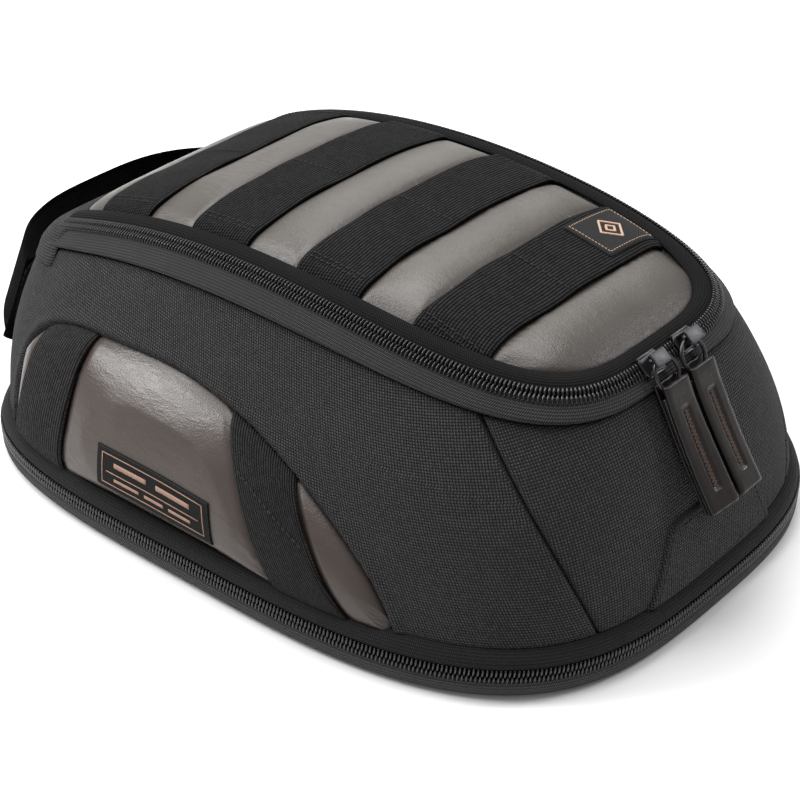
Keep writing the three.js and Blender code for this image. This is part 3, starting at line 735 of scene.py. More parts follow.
LINING = cloth("grey_lining", "twill", 0.0005, (0.10, 0.105, 0.11), (0.20, 0.205, 0.215), 0.0001, 0.7, 0.05)
# The lid leather's lighter tone than the side leather is painted light, standing for the light that falls on it from
# above.
# The third colour of each leather is the painted shade of its rolled edges.
LIT_LID_HIDE = hide("grey_taupe_leather_painted_top_light", (0.064, 0.057, 0.050), (0.136, 0.125, 0.111), (0.016, 0.010, 0.008), 0.38,
                depth=0.0002)
SIDE_HIDE = hide("brown_taupe_leather", (0.040, 0.030, 0.026), (0.084, 0.066, 0.058), (0.018, 0.011, 0.009), 0.37,
                 depth=0.00013)
PULL_HIDE = hide("dark_pull_leather", (0.0085, 0.0062, 0.0056), (0.021, 0.0155, 0.0142), (0.005, 0.0035, 0.003), 0.33,
                 grain=1400.0, crease=140.0, depth=0.00008, shine=0.4)
PATCH = cloth("charcoal_patch_cloth", "twill", 0.0004, (0.010, 0.010, 0.010), (0.030, 0.030, 0.030), 0.0001, 0.8, 0.02)
GUSSET = cloth("black_gusset_cloth", "twill", 0.0012, (0.006, 0.006, 0.006), (0.02, 0.02, 0.02), 0.0001, 0.8, 0.02)
MESH = cloth("black_mesh", "plain", 0.0016, (0.004, 0.004, 0.004), (0.035, 0.035, 0.035), 0.0004, 0.6, 0.02)
PEACH = solid_finish("peach_thread", (0.42, 0.27, 0.19), (0.62, 0.42, 0.30), 0.55, scale=1500.0, depth=0.0001)
TEETH = solid_finish("black_zip_teeth", (0.006, 0.006, 0.006), (0.016, 0.016, 0.017), 0.28, coat=0.2)
METAL = solid_finish("dark_plated_metal", (0.045, 0.045, 0.048), (0.085, 0.085, 0.09), 0.40, 1.0, 900.0)
COPPER = solid_finish("copper_thread", (0.24, 0.135, 0.092), (0.37, 0.22, 0.155), 0.6, scale=1500.0, depth=0.0001)
BROWN_THREAD = solid_finish("brown_thread", (0.030, 0.014, 0.008), (0.080, 0.042, 0.026), 0.6, scale=1500.0,
                            depth=0.0001)
BLACK_THREAD = solid_finish("black_thread", (0.003, 0.003, 0.003), (0.010, 0.010, 0.010), 0.8, scale=1500.0,
                            depth=0.0001)
BLACK_CORE = solid_finish("black_edge_paint", (0.006, 0.006, 0.006), (0.016, 0.015, 0.015), 0.4)
FOAM = solid_finish("grey_foam", (0.20, 0.21, 0.22), (0.30, 0.31, 0.32), 0.9, scale=900.0, depth=0.0004)
GROUND = solid_finish("pebbled_base_sheet", (0.010, 0.010, 0.011), (0.024, 0.024, 0.025), 0.6, scale=700.0, depth=0.0005)


# ---- Camera, floor and light ---------------------------------------------------------------------
def aim(thing, at, target):
    """Puts a camera or a light at a place, turned to a target."""
    thing.location = Vector(at)
    thing.rotation_euler = (Vector(target) - Vector(at)).to_track_quat("-Z", "Y").to_euler()
    bpy.context.scene.collection.objects.link(thing)


def set_stage():
    camera = bpy.data.cameras.new("camera")
    camera.sensor_width = 36
    camera.lens = 86.6
    viewer = bpy.data.objects.new("camera", camera)
    aim(viewer, (-0.4761, -0.4214, 0.4551), (0.0184, 0.02095, 0.00397))
    bpy.context.scene.camera = viewer
    floor_mesh = bpy.data.meshes.new("floor")
    reach = 6.0
    corners = [(-reach, -reach, 0), (reach, -reach, 0), (reach, reach, 0), (-reach, reach, 0)]
    floor_mesh.from_pydata(corners, [], [(0, 1, 2, 3)])
    floor = placed("floor", floor_mesh)
    made, _, shader = material("pale_floor")
    shader.inputs["Base Color"].default_value = (0.93, 0.93, 0.93, 1)
    shader.inputs["Roughness"].default_value = 0.9
    shader.inputs["Specular IOR Level"].default_value = 0.0
    floor_mesh.materials.append(made)
    world = bpy.data.worlds.new("studio")
    world.use_nodes = True
    sky = world.node_tree.nodes["Background"]
    sky.inputs["Color"].default_value = (1, 1, 1, 1)
    sky.inputs["Strength"].default_value = 0.34
    bpy.context.scene.world = world
    lamps = (("overhead_softbox", (0.1, 0.4, 1.6), 1.2, 27), ("far_softbox", (0.95, 0.85, 0.85), 0.8, 3.4),
             ("left_softbox", (-0.62, 0.95, 0.95), 0.5, 14), ("right_strip", (1.1, -0.8, 1.0), 0.4, 9))
    for name, at, width, power in lamps:
        light = bpy.data.lights.new(name, "AREA")
        light.size = width
        light.energy = power
        aim(bpy.data.objects.new(name, light), at, (0, 0, 0.05))
    bpy.context.scene.view_settings.view_transform = "Standard"


def lay_cloth(grid, wrap=False):
    """Works out the size a piece of cloth was cut to, measured over its own surface, and does nothing more with it."""
    closed = np.concatenate([grid, grid[:, :1]], 1) if wrap else grid
    width = lengths(closed, 1)[:, -1].max()
    length = lengths(closed, 0)[-1].max()
    width, length = float(width) * MM, float(length) * MM


# ---- Zips ----------------------------------------------------------------------------------------
def evenly(frame_of, first, last, pitch):
    """Angles in radians that step evenly, by a pitch, along a line."""
    fine = np.radians(np.linspace(first, last, 4001))
    line = frame_of(fine)[0]
    travel = lengths(line[None], 1)[0]
    count = int(travel[-1] / pitch)
    return np.interp((np.arange(count) + 0.5) * travel[-1] / count, travel, fine)


def tooth_row(name, frame_of, first, last, hand, phase, body, node):
    """One side's teeth: small bars with round heads that reach a little past the zip's middle."""
    angles = evenly(frame_of, first, last, TOOTH_PITCH)
    angles = angles + phase * (angles[1] - angles[0])
    at, side, top = frame_of(angles)
    along = np.cross(side, top)
    tooth, faces = rounded_bar(3.0, 0.95, 1.5)
    tooth = [(x + 0.12 * y, y, z - 0.05 * y * y) for x, y, z in tooth]
    axes = np.stack([along, side, top], 1)
    row = copies(name, tooth, faces, at + side * (hand * 1.35) + top * 0.1, axes, TEETH)
    outward(row)
    return fit_out(row, body, "teeth", node)


def arch(width, rise, points=9, thick=0.8):
    """A tape's section: a shallow arch from 0 to width, as a closed outline."""
    t = np.linspace(0, 1, points)
    x, y = t * width, rise * np.sin(np.pi * t) ** 0.7
    return np.concatenate([np.stack([x, y], -1), np.stack([x[::-1], y[::-1] - thick], -1)])


def main_zip():
    """The lid's zip, from one front corner round the rider's end to the other: its teeth and tapes."""
    first, last = ZIP_END, 540 - ZIP_END
    tooth_row("body_teeth", zip_frame, first, last, 1, 0.0, "body", "body_zip_teeth")
    tooth_row("lid_teeth", zip_frame, first, last, -1, 0.5, "lid", "lid_zip_teeth")
    angles = np.radians(np.linspace(first, last, 420))
    at, side, top = zip_frame(angles)
    widths = tape_width(angles)[:, 0]
    section = np.stack([arch(w + 0.6, 0.5) + (0.3, -0.85) for w in widths])
    body_tape = swept("body_tape", at, side, top, section, TAPE)
    fit_out(body_tape, "body", "tape", "body_zip_tape")
    inward = arch(10.8, 0.5) * (-1, 1) + (-0.3, -0.85)
    sink = np.array([(0.022 * (x + 2) ** 2, -0.040 * (x + 2) ** 2) if x < -2 else (0, 0) for x, _ in inward])
    lid_tape = swept("lid_tape", at, side, top, inward + sink, SHADED_LID_TAPE)
    fit_out(lid_tape, "lid", "tape", "lid_zip_tape")


def expansion_zip():
    """The zip round the whole base, its rolled upper tape and the canvas band under it."""
    def upper(angle):
        at, side, top = base_frame(angle, COIL_Z)
        return at, top, side
    tooth_row("expansion_lower_teeth", upper, 0, 360, -1, 0.0, "base", "base_zip_teeth")
    tooth_row("expansion_upper_teeth", upper, 0, 360, 1, 0.5, "body", "body_lower_teeth")
    angles = np.radians(np.linspace(0, 360, 481)[:-1])
    at, side, top = base_frame(angles)
    roll = [(-1.0, 12.2), (-0.2, 13.3), (-0.3, 14.8), (-1.2, 16.6), (-2.7, 18.0), (-4.4, 18.9), (-5.8, 18.9),
            (-5.8, 17.6), (-3.0, 14.4), (-2.6, 12.2)]
    section = [(a, z + COIL_Z - 10.1) for a, z in roll]
    upper_tape = swept("expansion_upper_tape", at, side, top, section, BASE_TAPE, True)
    fit_out(upper_tape, "body", "tape", "body_lower_tape")
    band = [(-1.0, 8.0), (-0.1, 7.3), (0.5, 6.0), (0.6, 4.3), (0.3, 2.6), (-0.7, 1.2), (-2.2, 0.4), (-4.5, 0.25),
            (-6.0, 0.3), (-6.0, 1.6), (-2.6, 2.4), (-2.4, 8.0)]
    lower_band = swept("base_edge_band", at, side, top, band, BAND, True)
    fit_out(lower_band, "base", "canvas", "base_band", "base_zip_tape")


# ---- Body walls ----------------------------------------------------------------------------------
def rear_seam(rise):
    """Where the side panel meets the rider's end panel, in degrees."""
    return REAR_SEAM_FOOT + (REAR_SEAM_HEAD - REAR_SEAM_FOOT) * rise


def inset_edge(s):
    """The rise of the leather inset's arched upper edge, s from 0 at its front to 1 at its rear."""
    s = np.asarray(s, float)
    ahead = np.clip((INSET_PEAK - s) / INSET_PEAK, 0, 1)
    behind = np.clip((s - INSET_PEAK) / (1 - INSET_PEAK), 0, 1)
    return INSET_HEIGHT * np.where(s < INSET_PEAK, (1 - ahead ** 6) ** 0.25, (1 - behind ** 2.6) ** 0.625)


def s_of(degrees):
    """How far along the inset a place is, in degrees round the bag."""
    return (degrees - INSET_FROM) / (INSET_TO - INSET_FROM)


def inset_border():
    s = 0.5 - 0.5 * np.cos(np.linspace(0, np.pi, 500))
    return wall(INSET_FROM + (INSET_TO - INSET_FROM) * s, inset_edge(s))


def nearest(points, curve):
    """Distance from each point of a grid to a curve."""
    tree = kdtree.KDTree(len(curve))
    for i, p in enumerate(curve):
        tree.insert(p, i)
    tree.balance()
    flat = points.reshape(-1, 3)
    return np.array([tree.find(p)[2] for p in flat]).reshape(points.shape[:2])


def canvas_panel(name, grid, extra, seed):
    """A canvas panel with rolled seams on all its edges and soft swells."""
    out = normals(grid)
    away = edge_distance(grid)
    lift = rolled(away, 2.2) * 1.1 + ripples(grid, 60, 0.35, seed) * smooth(away / 12) + extra
    outer = grid + out * (lift + 0.4)[..., None]
    inner = grid + out * (lift.clip(None, 0) - 1.4)[..., None]
    return sheet_piece(name, outer, inner, CANVAS)


def side_panels():
    """The canvas sides, with a raised lip round the leather inset and a sunk place under it."""
    rise, u = np.meshgrid(np.linspace(-0.005, 1.0, 84), np.linspace(0, 1, 230), indexing="ij")
    degrees = FRONT_SEAM + (rear_seam(rise) - FRONT_SEAM) * u
    grid = wall(degrees, rise)
    s = s_of(degrees)
    inside = (s > 0) & (s < 1) & (rise < inset_edge(np.clip(s, 0, 1)))
    gap = nearest(grid, inset_border()) * np.where(inside, -1, 1)
    lip = 0.9 * np.exp(-((gap - 2.2) / 2.2) ** 2) + rolled(np.clip(gap, 0, 9), 1.6)
    drop = np.where(inside, -1.6 - 1.6 * smooth(-gap / 2.0), lip)
    left = canvas_panel("left_canvas_panel", grid, drop, 3)
    fit_out(left, "body", "canvas", "left_side_panel")
    right = mirror_of(left, "right_canvas_panel")
    fit_out(right, "body", "canvas", "right_side_panel")


def end_panels():
    """The rider's end, the front end and the flap that the lid bends along."""
    rise, u = np.meshgrid(np.linspace(-0.005, 1.0, 76), np.linspace(0, 1, 190), indexing="ij")
    grid = wall(rear_seam(rise) + (540 - 2 * rear_seam(rise)) * u, rise)
    rear = canvas_panel("rider_end_panel", grid, 0.0, 5)
    fit_out(rear, "body", "canvas", "rear_end_panel")
    rise, u = np.meshgrid(np.linspace(-0.005, 1.0, 60), np.linspace(0, 1, 150), indexing="ij")
    grid = wall(180 - FRONT_SEAM + (2 * FRONT_SEAM - 180) * u, rise)
    front = canvas_panel("front_end_canvas", grid, 0.0, 6)
    fit_out(front, "body", "canvas", "front_end_panel")
    degrees = np.linspace(39, 141, 121)
    angle = np.radians(degrees)
    line, side, up = zip_frame(angle)
    inner = outline(shrunk(9, 7), angle)[0]
    edge = np.concatenate([inner, (lid_top(inner[:, 0], inner[:, 1]) + 0.9)[:, None]], -1)
    low, mid, head = (wall(degrees, np.full_like(degrees, r)) for r in (0.90, 0.95, 1.0))
    out = np.concatenate([outline(ZIP, angle)[1], 0 * degrees[:, None]], -1)
    rows = [low + 1.0 * out, mid + 1.3 * out, head + 1.2 * out + 0.6 * up, line + side * 3.4 - up * 0.2,
            line - side * 1.5 - up * 0.9, edge]
    grid = finer(np.array(rows), 46, 121)
    out = normals(grid)
    lift = 0.35 + rolled(edge_distance(grid), 0.5)
    flap = sheet_piece("lid_hinge_flap", grid + out * lift[..., None], grid - out * 0.35, CANVAS)
    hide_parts("lid_hinge_strip")
    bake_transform(flap)
    lay_cloth(grid)


def rear_patch():
    """The reinforcing patch low on the rider's end, narrower at its rounded top, and its stitches."""
    top = 0.4
    v, u = np.meshgrid(np.linspace(0.0, top, 30), np.linspace(-1, 1, 70), indexing="ij")
    below = np.clip(1 - (top - v) * 72 / 7.0, 0, 1)
    half = 19 - 4.5 * v / top - 3.2 * (1 - np.sqrt(1 - below ** 2))
    grid = wall(270 + half * u, v)
    out = normals(grid)
    lift = 1.5 + rolled(edge_distance(grid), 1.4)
    piece = sheet_piece("rider_end_patch", grid + out * (lift + 0.5)[..., None], grid + out * 0.2, CANVAS)
    fit_out(piece, "body", "canvas", "rear_patch")
    lay_cloth(grid)
    raised = grid + out * 2.05
    rim = np.concatenate([raised[:-4, 3], raised[-4, 3:-3], raised[-4::-1, -4]])
    rim_out = np.concatenate([out[:-4, 3], out[-4, 3:-3], out[-4::-1, -4]])
    fit_out(stitched("patch_stitches", [(rim, rim_out)], 3.0, 2.3, 0.55, BLACK_THREAD), "body", "canvas")


# ---- Side leather and its straps -----------------------------------------------------------------
# Each strap's foot and head in degrees round the bag, and half its width as a share of the inset.
SIDE_STRAPS = {"front": (149.0, 151.0, 0.073), "rear": (200.0, 192.5, 0.08)}
INSET_LONG, INSET_TALL = 190.0, 80.0


def inset_lift(s, t):
    """The wall under the leather, how far the leather stands off it, and the distance in from its edge."""
    grid = wall(INSET_FROM + (INSET_TO - INSET_FROM) * s, t * inset_edge(s))
    tall = inset_edge(s) * INSET_TALL
    edge = np.minimum(t * tall + 3, (1 - t) * tall)
    edge = np.minimum(edge, np.minimum(s, 1 - s) * INSET_LONG)
    puff = -1.5 + 5.4 * (1 - np.exp(-np.clip(edge, 0, None) / 5.0))
    return grid, puff, edge


def beside_straps(s, t):
    """Distance from the nearer side strap's edge, below 0 under it."""
    far = np.full(np.shape(s), 1e3)
    for foot, head, half in SIDE_STRAPS.values():
        middle = s_of(foot) + (s_of(head) - s_of(foot)) * t
        far = np.minimum(far, (np.abs(s - middle) - half) * INSET_LONG)
    return far


# The finished leather's lift, kept for the label that rests on it.
LEATHER_LIFT = []


def leather_lift(s, t):
    """How far the side leather stands off the wall at a place on it."""
    rows, columns = LEATHER_LIFT[0].shape
    c = np.arccos(1 - 2 * np.clip((s - 0.003) / 0.994, 0, 1)) / np.pi * (columns - 1)
    r = np.clip(t, 0, 1) * (rows - 1)
    i, k = r.astype(int).clip(0, rows - 2), c.astype(int).clip(0, columns - 2)
    f, g = r - i, c - k
    lift = LEATHER_LIFT[0]
    before = lift[i, k] * (1 - f) + lift[i + 1, k] * f
    after = lift[i, k + 1] * (1 - f) + lift[i + 1, k + 1] * f
    return before * (1 - g) + after * g


def side_leather():
    """The puffed leather insets, blown up on a coarse skin and then laid out finely."""
    def spread(rows, columns):
        t, u = np.meshgrid(np.linspace(0.0, 1, rows), np.linspace(0, np.pi, columns), indexing="ij")
        return 0.003 + 0.994 * (0.5 - 0.5 * np.cos(u)), t
    s, t = spread(26, 84)
    grid, puff, edge = inset_lift(s, t)
    held = np.maximum(1 - smooth(edge / 3.0), 1 - smooth((beside_straps(s, t) + 1.5) / 3.0))
    held[held > 0.97] = 1
    moved = finer(puffed(grid + normals(grid) * puff[..., None], held, SIDE_PRESSURE, SIDE_TRAVEL), 78, 250)
    s, t = spread(78, 250)
    grid, puff, edge = inset_lift(s, t)
    out = normals(grid)
    puff = puff - 1.0 * (1 - smooth((beside_straps(s, t) + 1) / 5.0))
    top = grid + out * puff[..., None] + moved
    top = top + out * (ripples(grid, 30, 0.12, 11) * smooth(edge / 10))[..., None]
    away = np.clip(np.minimum(edge, beside_straps(s, t) + 1), 0, None)
    LEATHER_LIFT[:] = [((top - grid) * out).sum(-1)]
    # The edge mark is painted shade along the inset's rolled border under the canvas and beside the straps.
    marks = {"edge": np.exp(-away / 2.2)}
    piece = sheet_piece("left_leather_inset", top, grid - out * 2.6, SIDE_HIDE, marks=marks)
    fit_out(piece, "body", "side_leather", "left_side_leather")
    twin = mirror_of(piece, "right_leather_inset")
    fit_out(twin, "body", "side_leather", "right_side_leather")


def side_straps():
    """The webbing straps over the side leathers, each with a slanting row of tacks."""
    tacks = []
    for key, (foot, head, half) in SIDE_STRAPS.items():
        t, u = np.meshgrid(np.linspace(-0.01, 1.0, 70), np.linspace(-1, 1, 26), indexing="ij")
        s = s_of(foot) + (s_of(head) - s_of(foot)) * t + half * u
        grid, puff, _ = inset_lift(s, t)
        out = normals(grid)
        bow = 0.9 * np.sin(np.pi * np.clip(t, 0, 1)) * (1 - 0.4 * u ** 2)
        lift = puff + bow + WEB_THICK + rolled((1 - np.abs(u)) * WEBBING / 2, 0.7)
        name, twin = "left_side_strap_" + key, "right_side_strap_" + key
        under = grid + out * (puff + bow - 0.1)[..., None]
        piece = sheet_piece(name + "_webbing", grid + out * lift[..., None], under, WEB)
        fit_out(piece, "body", "webbing", name)
        fit_out(mirror_of(piece, twin + "_webbing"), "body", "webbing", twin)
        top = grid + out * (lift + 0.12)[..., None]
        slant = (50 - 11 * u[0]) if key == "front" else (44 - 7 * u[0])
        row = np.array([top[int(r), c] for c, r in enumerate(slant)])[2:-2]
        tacks.append((row, out[46, 2:-2]))
    thread = stitched("left_strap_tacks", tacks, 2.7, 2.1, 0.75, BLACK_THREAD)
    fit_out(thread, "body", "webbing")
    fit_out(mirror_of(thread, "right_strap_tacks"), "body", "webbing")


def on_label(u, v):
    """The place on the inset of a place on the label, where u and v go from 0 to 1."""
    return s_of(LABEL_FROM) + (s_of(LABEL_TO) - s_of(LABEL_FROM)) * u, LABEL_FOOT + LABEL_RISE * v


def label_surface(u, v):
    """The wall under the label, and the one direction that the flat label faces."""
    grid, _, _ = inset_lift(*on_label(u, v))
    across = np.linspace(s_of(LABEL_FROM), s_of(LABEL_TO), 9)
    t, s = np.meshgrid([0.1, 0.2, 0.3, 0.38], across, indexing="ij")
    return grid, np.broadcast_to(normals(inset_lift(s, t)[0]).mean((0, 1)), grid.shape)


def side_label():
    """The woven label on the left leather, with a plain frame and plain bars in copper thread."""
    v, u = np.meshgrid(np.linspace(0, 1, 34), np.linspace(0, 1, 110), indexing="ij")
    grid, out = label_surface(u, v)
    rest = leather_lift(*on_label(u, v))
    lift = rest + 0.8 + rolled(edge_distance(grid), 0.5)
    under = grid + out * (rest - 0.4)[..., None]
    piece = sheet_piece("side_woven_label", grid + out * lift[..., None], under, LABEL)
    fit_out(piece, "body", "label", "side_label")

    def face(u, v):
        at, out = label_surface(u, v)
        return at + out * (leather_lift(*on_label(u, v)) + 0.8)[..., None], out
    thin_u, thin_v = 0.006, 0.022
    frame_lines = [(0.05, 0.95, 0.13, 0.13 + thin_v), (0.05, 0.95, 0.87 - thin_v, 0.87),
                   (0.05, 0.05 + thin_u, 0.13, 0.87), (0.95 - thin_u, 0.95, 0.13, 0.87),
                   (0.09, 0.91, 0.43, 0.43 + thin_v)]
    bars = [(0.16, 0.45, 0.60, 0.71), (0.54, 0.84, 0.60, 0.71),
            (0.16, 0.38, 0.26, 0.33), (0.43, 0.60, 0.26, 0.33), (0.65, 0.84, 0.26, 0.33)]
    thread = bars_on("label_thread", face, frame_lines + bars, -0.05, 0.22, COPPER, 14)
    fit_out(thread, "body", "label")
    u, v = np.array([0.008, 0.992, 0.992, 0.008, 0.008]), np.array([0.03, 0.03, 0.97, 0.97, 0.03])
    ring_u = np.concatenate([np.linspace(u[i], u[i + 1], 12) for i in range(4)])
    ring_v = np.concatenate([np.linspace(v[i], v[i + 1], 12) for i in range(4)])
    at, out = face(ring_u[None], ring_v[None])
    edging = stitched("label_edging", [(at[0] - out[0] * 0.1, out[0])], 1.5, 1.3, 0.5, BLACK_THREAD)
    fit_out(edging, "body", "label")


# ---- Lid -----------------------------------------------------------------------------------------
PAD = dict(shrunk(PAD_EDGE), rear=LID_REAR - 7.4)


def strap_gap(y):
    """Distance from the nearest lid strap's edge, below 0 under it."""
    return np.min([np.abs(y - middle) - WEBBING / 2 for middle in STRAP_MIDDLES], axis=0)


def pad_lift(x, y):
    """The leather's height over the lid where it is pressed down: a soft crown with rolled sides."""
    reach = np.clip(reach_of(PAD, x, y), 0, 1)
    near = np.clip((1 - reach) * 70 / 9, 0, 1)
    rear = smooth((-84 - y) / 16)
    crown = (1.6 + 0.8 * rear) * (1 - reach ** 3)
    return 1.6 + 2.6 * rear + crown + 3.6 * np.sqrt(1 - (1 - near) ** 2)


def pad_grid(columns, rows):
    x, y, reach = spread_over(PAD, columns, rows)
    return np.stack([x, y, lid_top(x, y) + pad_lift(x, y)], -1), reach


def lid_leather():
    """The padded leather on the lid, blown up between its straps on a coarse skin and then laid out finely."""
    grid, reach = pad_grid(48, 84)
    held = np.maximum(smooth((reach - 0.93) / 0.05), 1 - smooth((strap_gap(grid[..., 1]) + 1.5) / 3.5))
    held[held > 0.97] = 1
    held[:, [0, -1]] = held[[0, -1], :] = 1
    moved = finer(puffed(grid, held, LID_PRESSURE, LID_TRAVEL), 252, 144)
    grid, reach = pad_grid(144, 252)
    gap = strap_gap(grid[..., 1])
    swell = ripples(grid, 24, 0.15, 21) * smooth((1 - reach) / 0.1) - 0.7 * (1 - smooth((gap + 1) / 4))
    top = grid + moved + UP * swell[..., None]
    side = np.clip(np.minimum((1 - reach) * 66, gap + 1), 0, None)
    under = np.stack([grid[..., 0], grid[..., 1], lid_top(grid[..., 0], grid[..., 1]) - 0.2], -1)
    # The edge mark is painted shade along the pad's rolled border and beside the straps.
    piece = sheet_piece("lid_leather_pad", top, under, LIT_LID_HIDE, marks={"edge": np.exp(-side / 5.0)})
    fit_out(piece, "lid", "lid_leather", "lid_leather")


def strap_top(x, y):
    """The height of a lid strap's upper face, which turns down past the leather's sides."""
    inside = np.clip(x, -PAD["half"] + 1, PAD["half"] - 1)
    over = np.clip(np.abs(x) - PAD["half"] + 1, 0, None)
    return lid_top(inside, y) + pad_lift(inside, y) + 0.3 + WEB_THICK - 1.3 * over


def lid_straps():
    """The four straps across the lid, sewn down at their ends and along their middle."""
    tacks = []
    reach = PAD["half"] + 0.6
    for number, middle in enumerate(STRAP_MIDDLES, 1):
        v, u = np.meshgrid(np.linspace(-1, 1, 30), np.linspace(-1, 1, 150), indexing="ij")
        wave = 0.35 * np.sin(u * 9 + number) * np.sign(v)
        x, y = u * reach, middle + v * WEBBING / 2 + wave * np.abs(v) ** 4
        grid = np.stack([x, y, strap_top(x, y)], -1)
        out = normals(grid)
        droop = rolled((1 - np.abs(v)) * WEBBING / 2, 0.7) + 0.12 * np.sin(u * 14 + v * 2 + number)
        piece = sheet_piece(f"lid_webbing_{number}", grid + out * droop[..., None], grid - out * WEB_THICK, WEB_ACROSS)
        fit_out(piece, "lid", "webbing", f"lid_strap_{number}")
        across = middle + np.linspace(-0.88, 0.88, 20) * WEBBING / 2
        for x in (-52.5, -50.6, -4.0, 52.5, 50.6):
            tacks.append((np.stack([0 * across + x, across, strap_top(x, across) + 0.18], -1), (0.0, 0.0, 1.0)))
    fit_out(stitched("lid_strap_tacks", tacks, 2.5, 1.9, 0.6, BLACK_THREAD), "lid", "webbing")


def lid_patch():
    """The small woven patch on the last strap, with a thread frame and a plain lozenge."""
    def face(u, v):
        x, y = 23 + 28 * u, -77 + 22 * v
        at = np.stack([x, y, strap_top(x, y) + 0.35], -1)
        return at, np.broadcast_to(UP, at.shape)
    v, u = np.meshgrid(np.linspace(0, 1, 30), np.linspace(0, 1, 38), indexing="ij")
    grid, out = face(u, v)
    lift = 0.7 + rolled(edge_distance(grid), 0.5)
    piece = sheet_piece("lid_woven_patch", grid + out * lift[..., None], grid - out * 0.4, PATCH)
    fit_out(piece, "lid", "label", "lid_patch")
    corners = np.array([(0.06, 0.07), (0.94, 0.07), (0.94, 0.93), (0.06, 0.93), (0.06, 0.07)])
    path = np.concatenate([np.linspace(corners[i], corners[i + 1], 10) for i in range(4)])
    at, out = face(path[:, 0], path[:, 1])
    frame_thread = stitched("patch_frame_thread", [(at + out * 0.72, out)], 1.5, 1.1, 0.34, PEACH)
    fit_out(frame_thread, "lid", "label")
    lozenge = []
    for across, along in ((0.2, 0.26), (0.08, 0.1)):
        points = [(0.5 - across, 0.5), (0.5, 0.5 + along), (0.5 + across, 0.5), (0.5, 0.5 - along), (0.5 - across, 0.5)]
        steps = np.concatenate([np.linspace(points[i], points[i + 1], 6) for i in range(4)])
        at, out = face(steps[:, 0], steps[:, 1])
        lozenge.append((at + out * 0.72, out))
    fit_out(stitched("patch_lozenge", lozenge, 0.6, 0.9, 1.1, PEACH), "lid", "label")


def lid_shell():
    """The lid's canvas, with a rim raised up to the zip's tape."""
    x, y, reach = spread_over(shrunk(5.5, 1), 90, 150)
    grid = np.stack([x, y, lid_top(x, y)], -1)
    rim = 3.6 * smooth((reach - 0.88) / 0.08) * smooth((ZIP["middle"] + 100 - y) / 14)
    grid = grid + rim[..., None] * UP
    piece = sheet_piece("lid_canvas", grid, grid - 1.4 * UP, CANVAS)
    fit_out(piece, "lid", "canvas", "lid_panel")


# ---- Handle --------------------------------------------------------------------------------------
def handle_line():
    """The handle's upper edge, with the directions out of its face and up it, leaning 20 degrees out at its foot."""
    x = -HANDLE_HALF * np.cos(np.linspace(0, np.pi, 110))
    y = HANDLE_ROOT + HANDLE_BOW * (1 - np.abs(x / HANDLE_HALF) ** 3.15)
    slope = np.gradient(y, x)
    out = np.stack([-slope, np.ones_like(x), 0 * x], -1)
    out /= np.linalg.norm(out, axis=-1, keepdims=True)
    lean = math.radians(20)
    c, s = math.cos(lean), math.sin(lean)
    return np.stack([x, y, 0 * x + HANDLE_TOP], -1), out * c + UP * s, UP * c - out * s


def handle():
    """The carrying strap, its two sewn ends, and the corners of webbing that turn between them."""
    line, side, up = handle_line()
    edge, half = np.linspace(-HANDLE_HEIGHT, 0, 21), HANDLE_HEIGHT / 2
    face = np.stack([1.0 + rolled(half - np.abs(edge + half), 0.9), edge], -1)
    section = np.concatenate([face, face[::-1] * (-1, 1)])
    piece = swept("handle_webbing", line, side, up, section, GRIP)
    fit_out(piece, "handle", "grip_webbing", "handle_strap")
    rise, u = np.meshgrid(np.linspace(0.06, 0.8, 40), np.linspace(0, 1, 20), indexing="ij")
    lean = (rise - 0.1) / 0.66
    grid = wall(121 + 4.5 * lean + (7.5 - 0.25 * lean) * u, rise)
    out = normals(grid)
    lift = 1.5 + rolled(edge_distance(grid), 0.8)
    left = sheet_piece("left_handle_end", grid + out * (lift + 0.4)[..., None], grid + out * 0.3, GRIP)
    fit_out(left, "body", "grip_webbing", "left_handle_tab")
    fit_out(mirror_of(left, "right_handle_end"), "body", "grip_webbing", "right_handle_tab")
    high = np.linspace(0, 1, 40)[:, None]
    roots = [line[k] - up[k] * HANDLE_HEIGHT * (1 - high) for k in (1, 6)]
    sewn = grid[:, 1] + out[:, 1] * 2.4
    turn = finer(np.array([grid[:, 8] + out[:, 8] * 2.2, sewn] + roots), 30, 40)
    face = normals(turn)
    turn_edge = edge_distance(turn, True, False)
    lift = 0.9 + rolled(turn_edge, 0.8)
    corner = sheet_piece("left_handle_corner", turn + face * lift[..., None], turn - face * 0.7, GRIP)
    outward(corner)
    far = mirror_of(corner, "right_handle_corner")
    for piece, hand in ((corner, 1), (far, -1)):
        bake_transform(piece)
    rows = [((grid + out * 2.0)[2:-2, k], out[2:-2, k]) for k in (3, 16)]
    thread = stitched("left_handle_tacks", rows, 2.8, 2.2, 0.7, BLACK_THREAD)
    fit_out(thread, "body", "grip_webbing")
    fit_out(mirror_of(thread, "right_handle_tacks"), "body", "grip_webbing")


# ---- Sliders, rings and pulls --------------------------------------------------------------------
PULL_ANGLE = math.radians(58)
RING_RADIUS = 6.0
PULL_X = 7.8
PULL_HALF = 6.7


def zip_middle():
    """The zip's point in the middle of the rider's end."""
    y = LID_MIDDLE - LID_REAR
    return np.array([0, y, float(zip_height(np.array(y)))])


def on_zip(sign):
    """Places x along the zip, y across it (up the lid) and z out of it, at one main slider."""
    across = np.array([0, math.cos(ZIP_TILT), math.sin(ZIP_TILT)])
    top = np.array([0, -math.sin(ZIP_TILT), math.cos(ZIP_TILT)])
    middle = zip_middle() + np.array([sign * 10.0, 0, 0])
    return lambda p: middle + p[:, :1] * RIGHT + p[:, 1:2] * across + p[:, 2:3] * top


def plate_outline(turn, length, width, square):
    """A slider's plate, an oval squared by two powers, at angles round it."""
    points = []
    for a, w in zip(turn, np.broadcast_to(width, turn.shape)):
        c, s = np.cos(a), np.sin(a)
        points.append((length * np.sign(c) * abs(c) ** square[0], w * np.sign(s) * abs(s) ** square[1]))
    return points


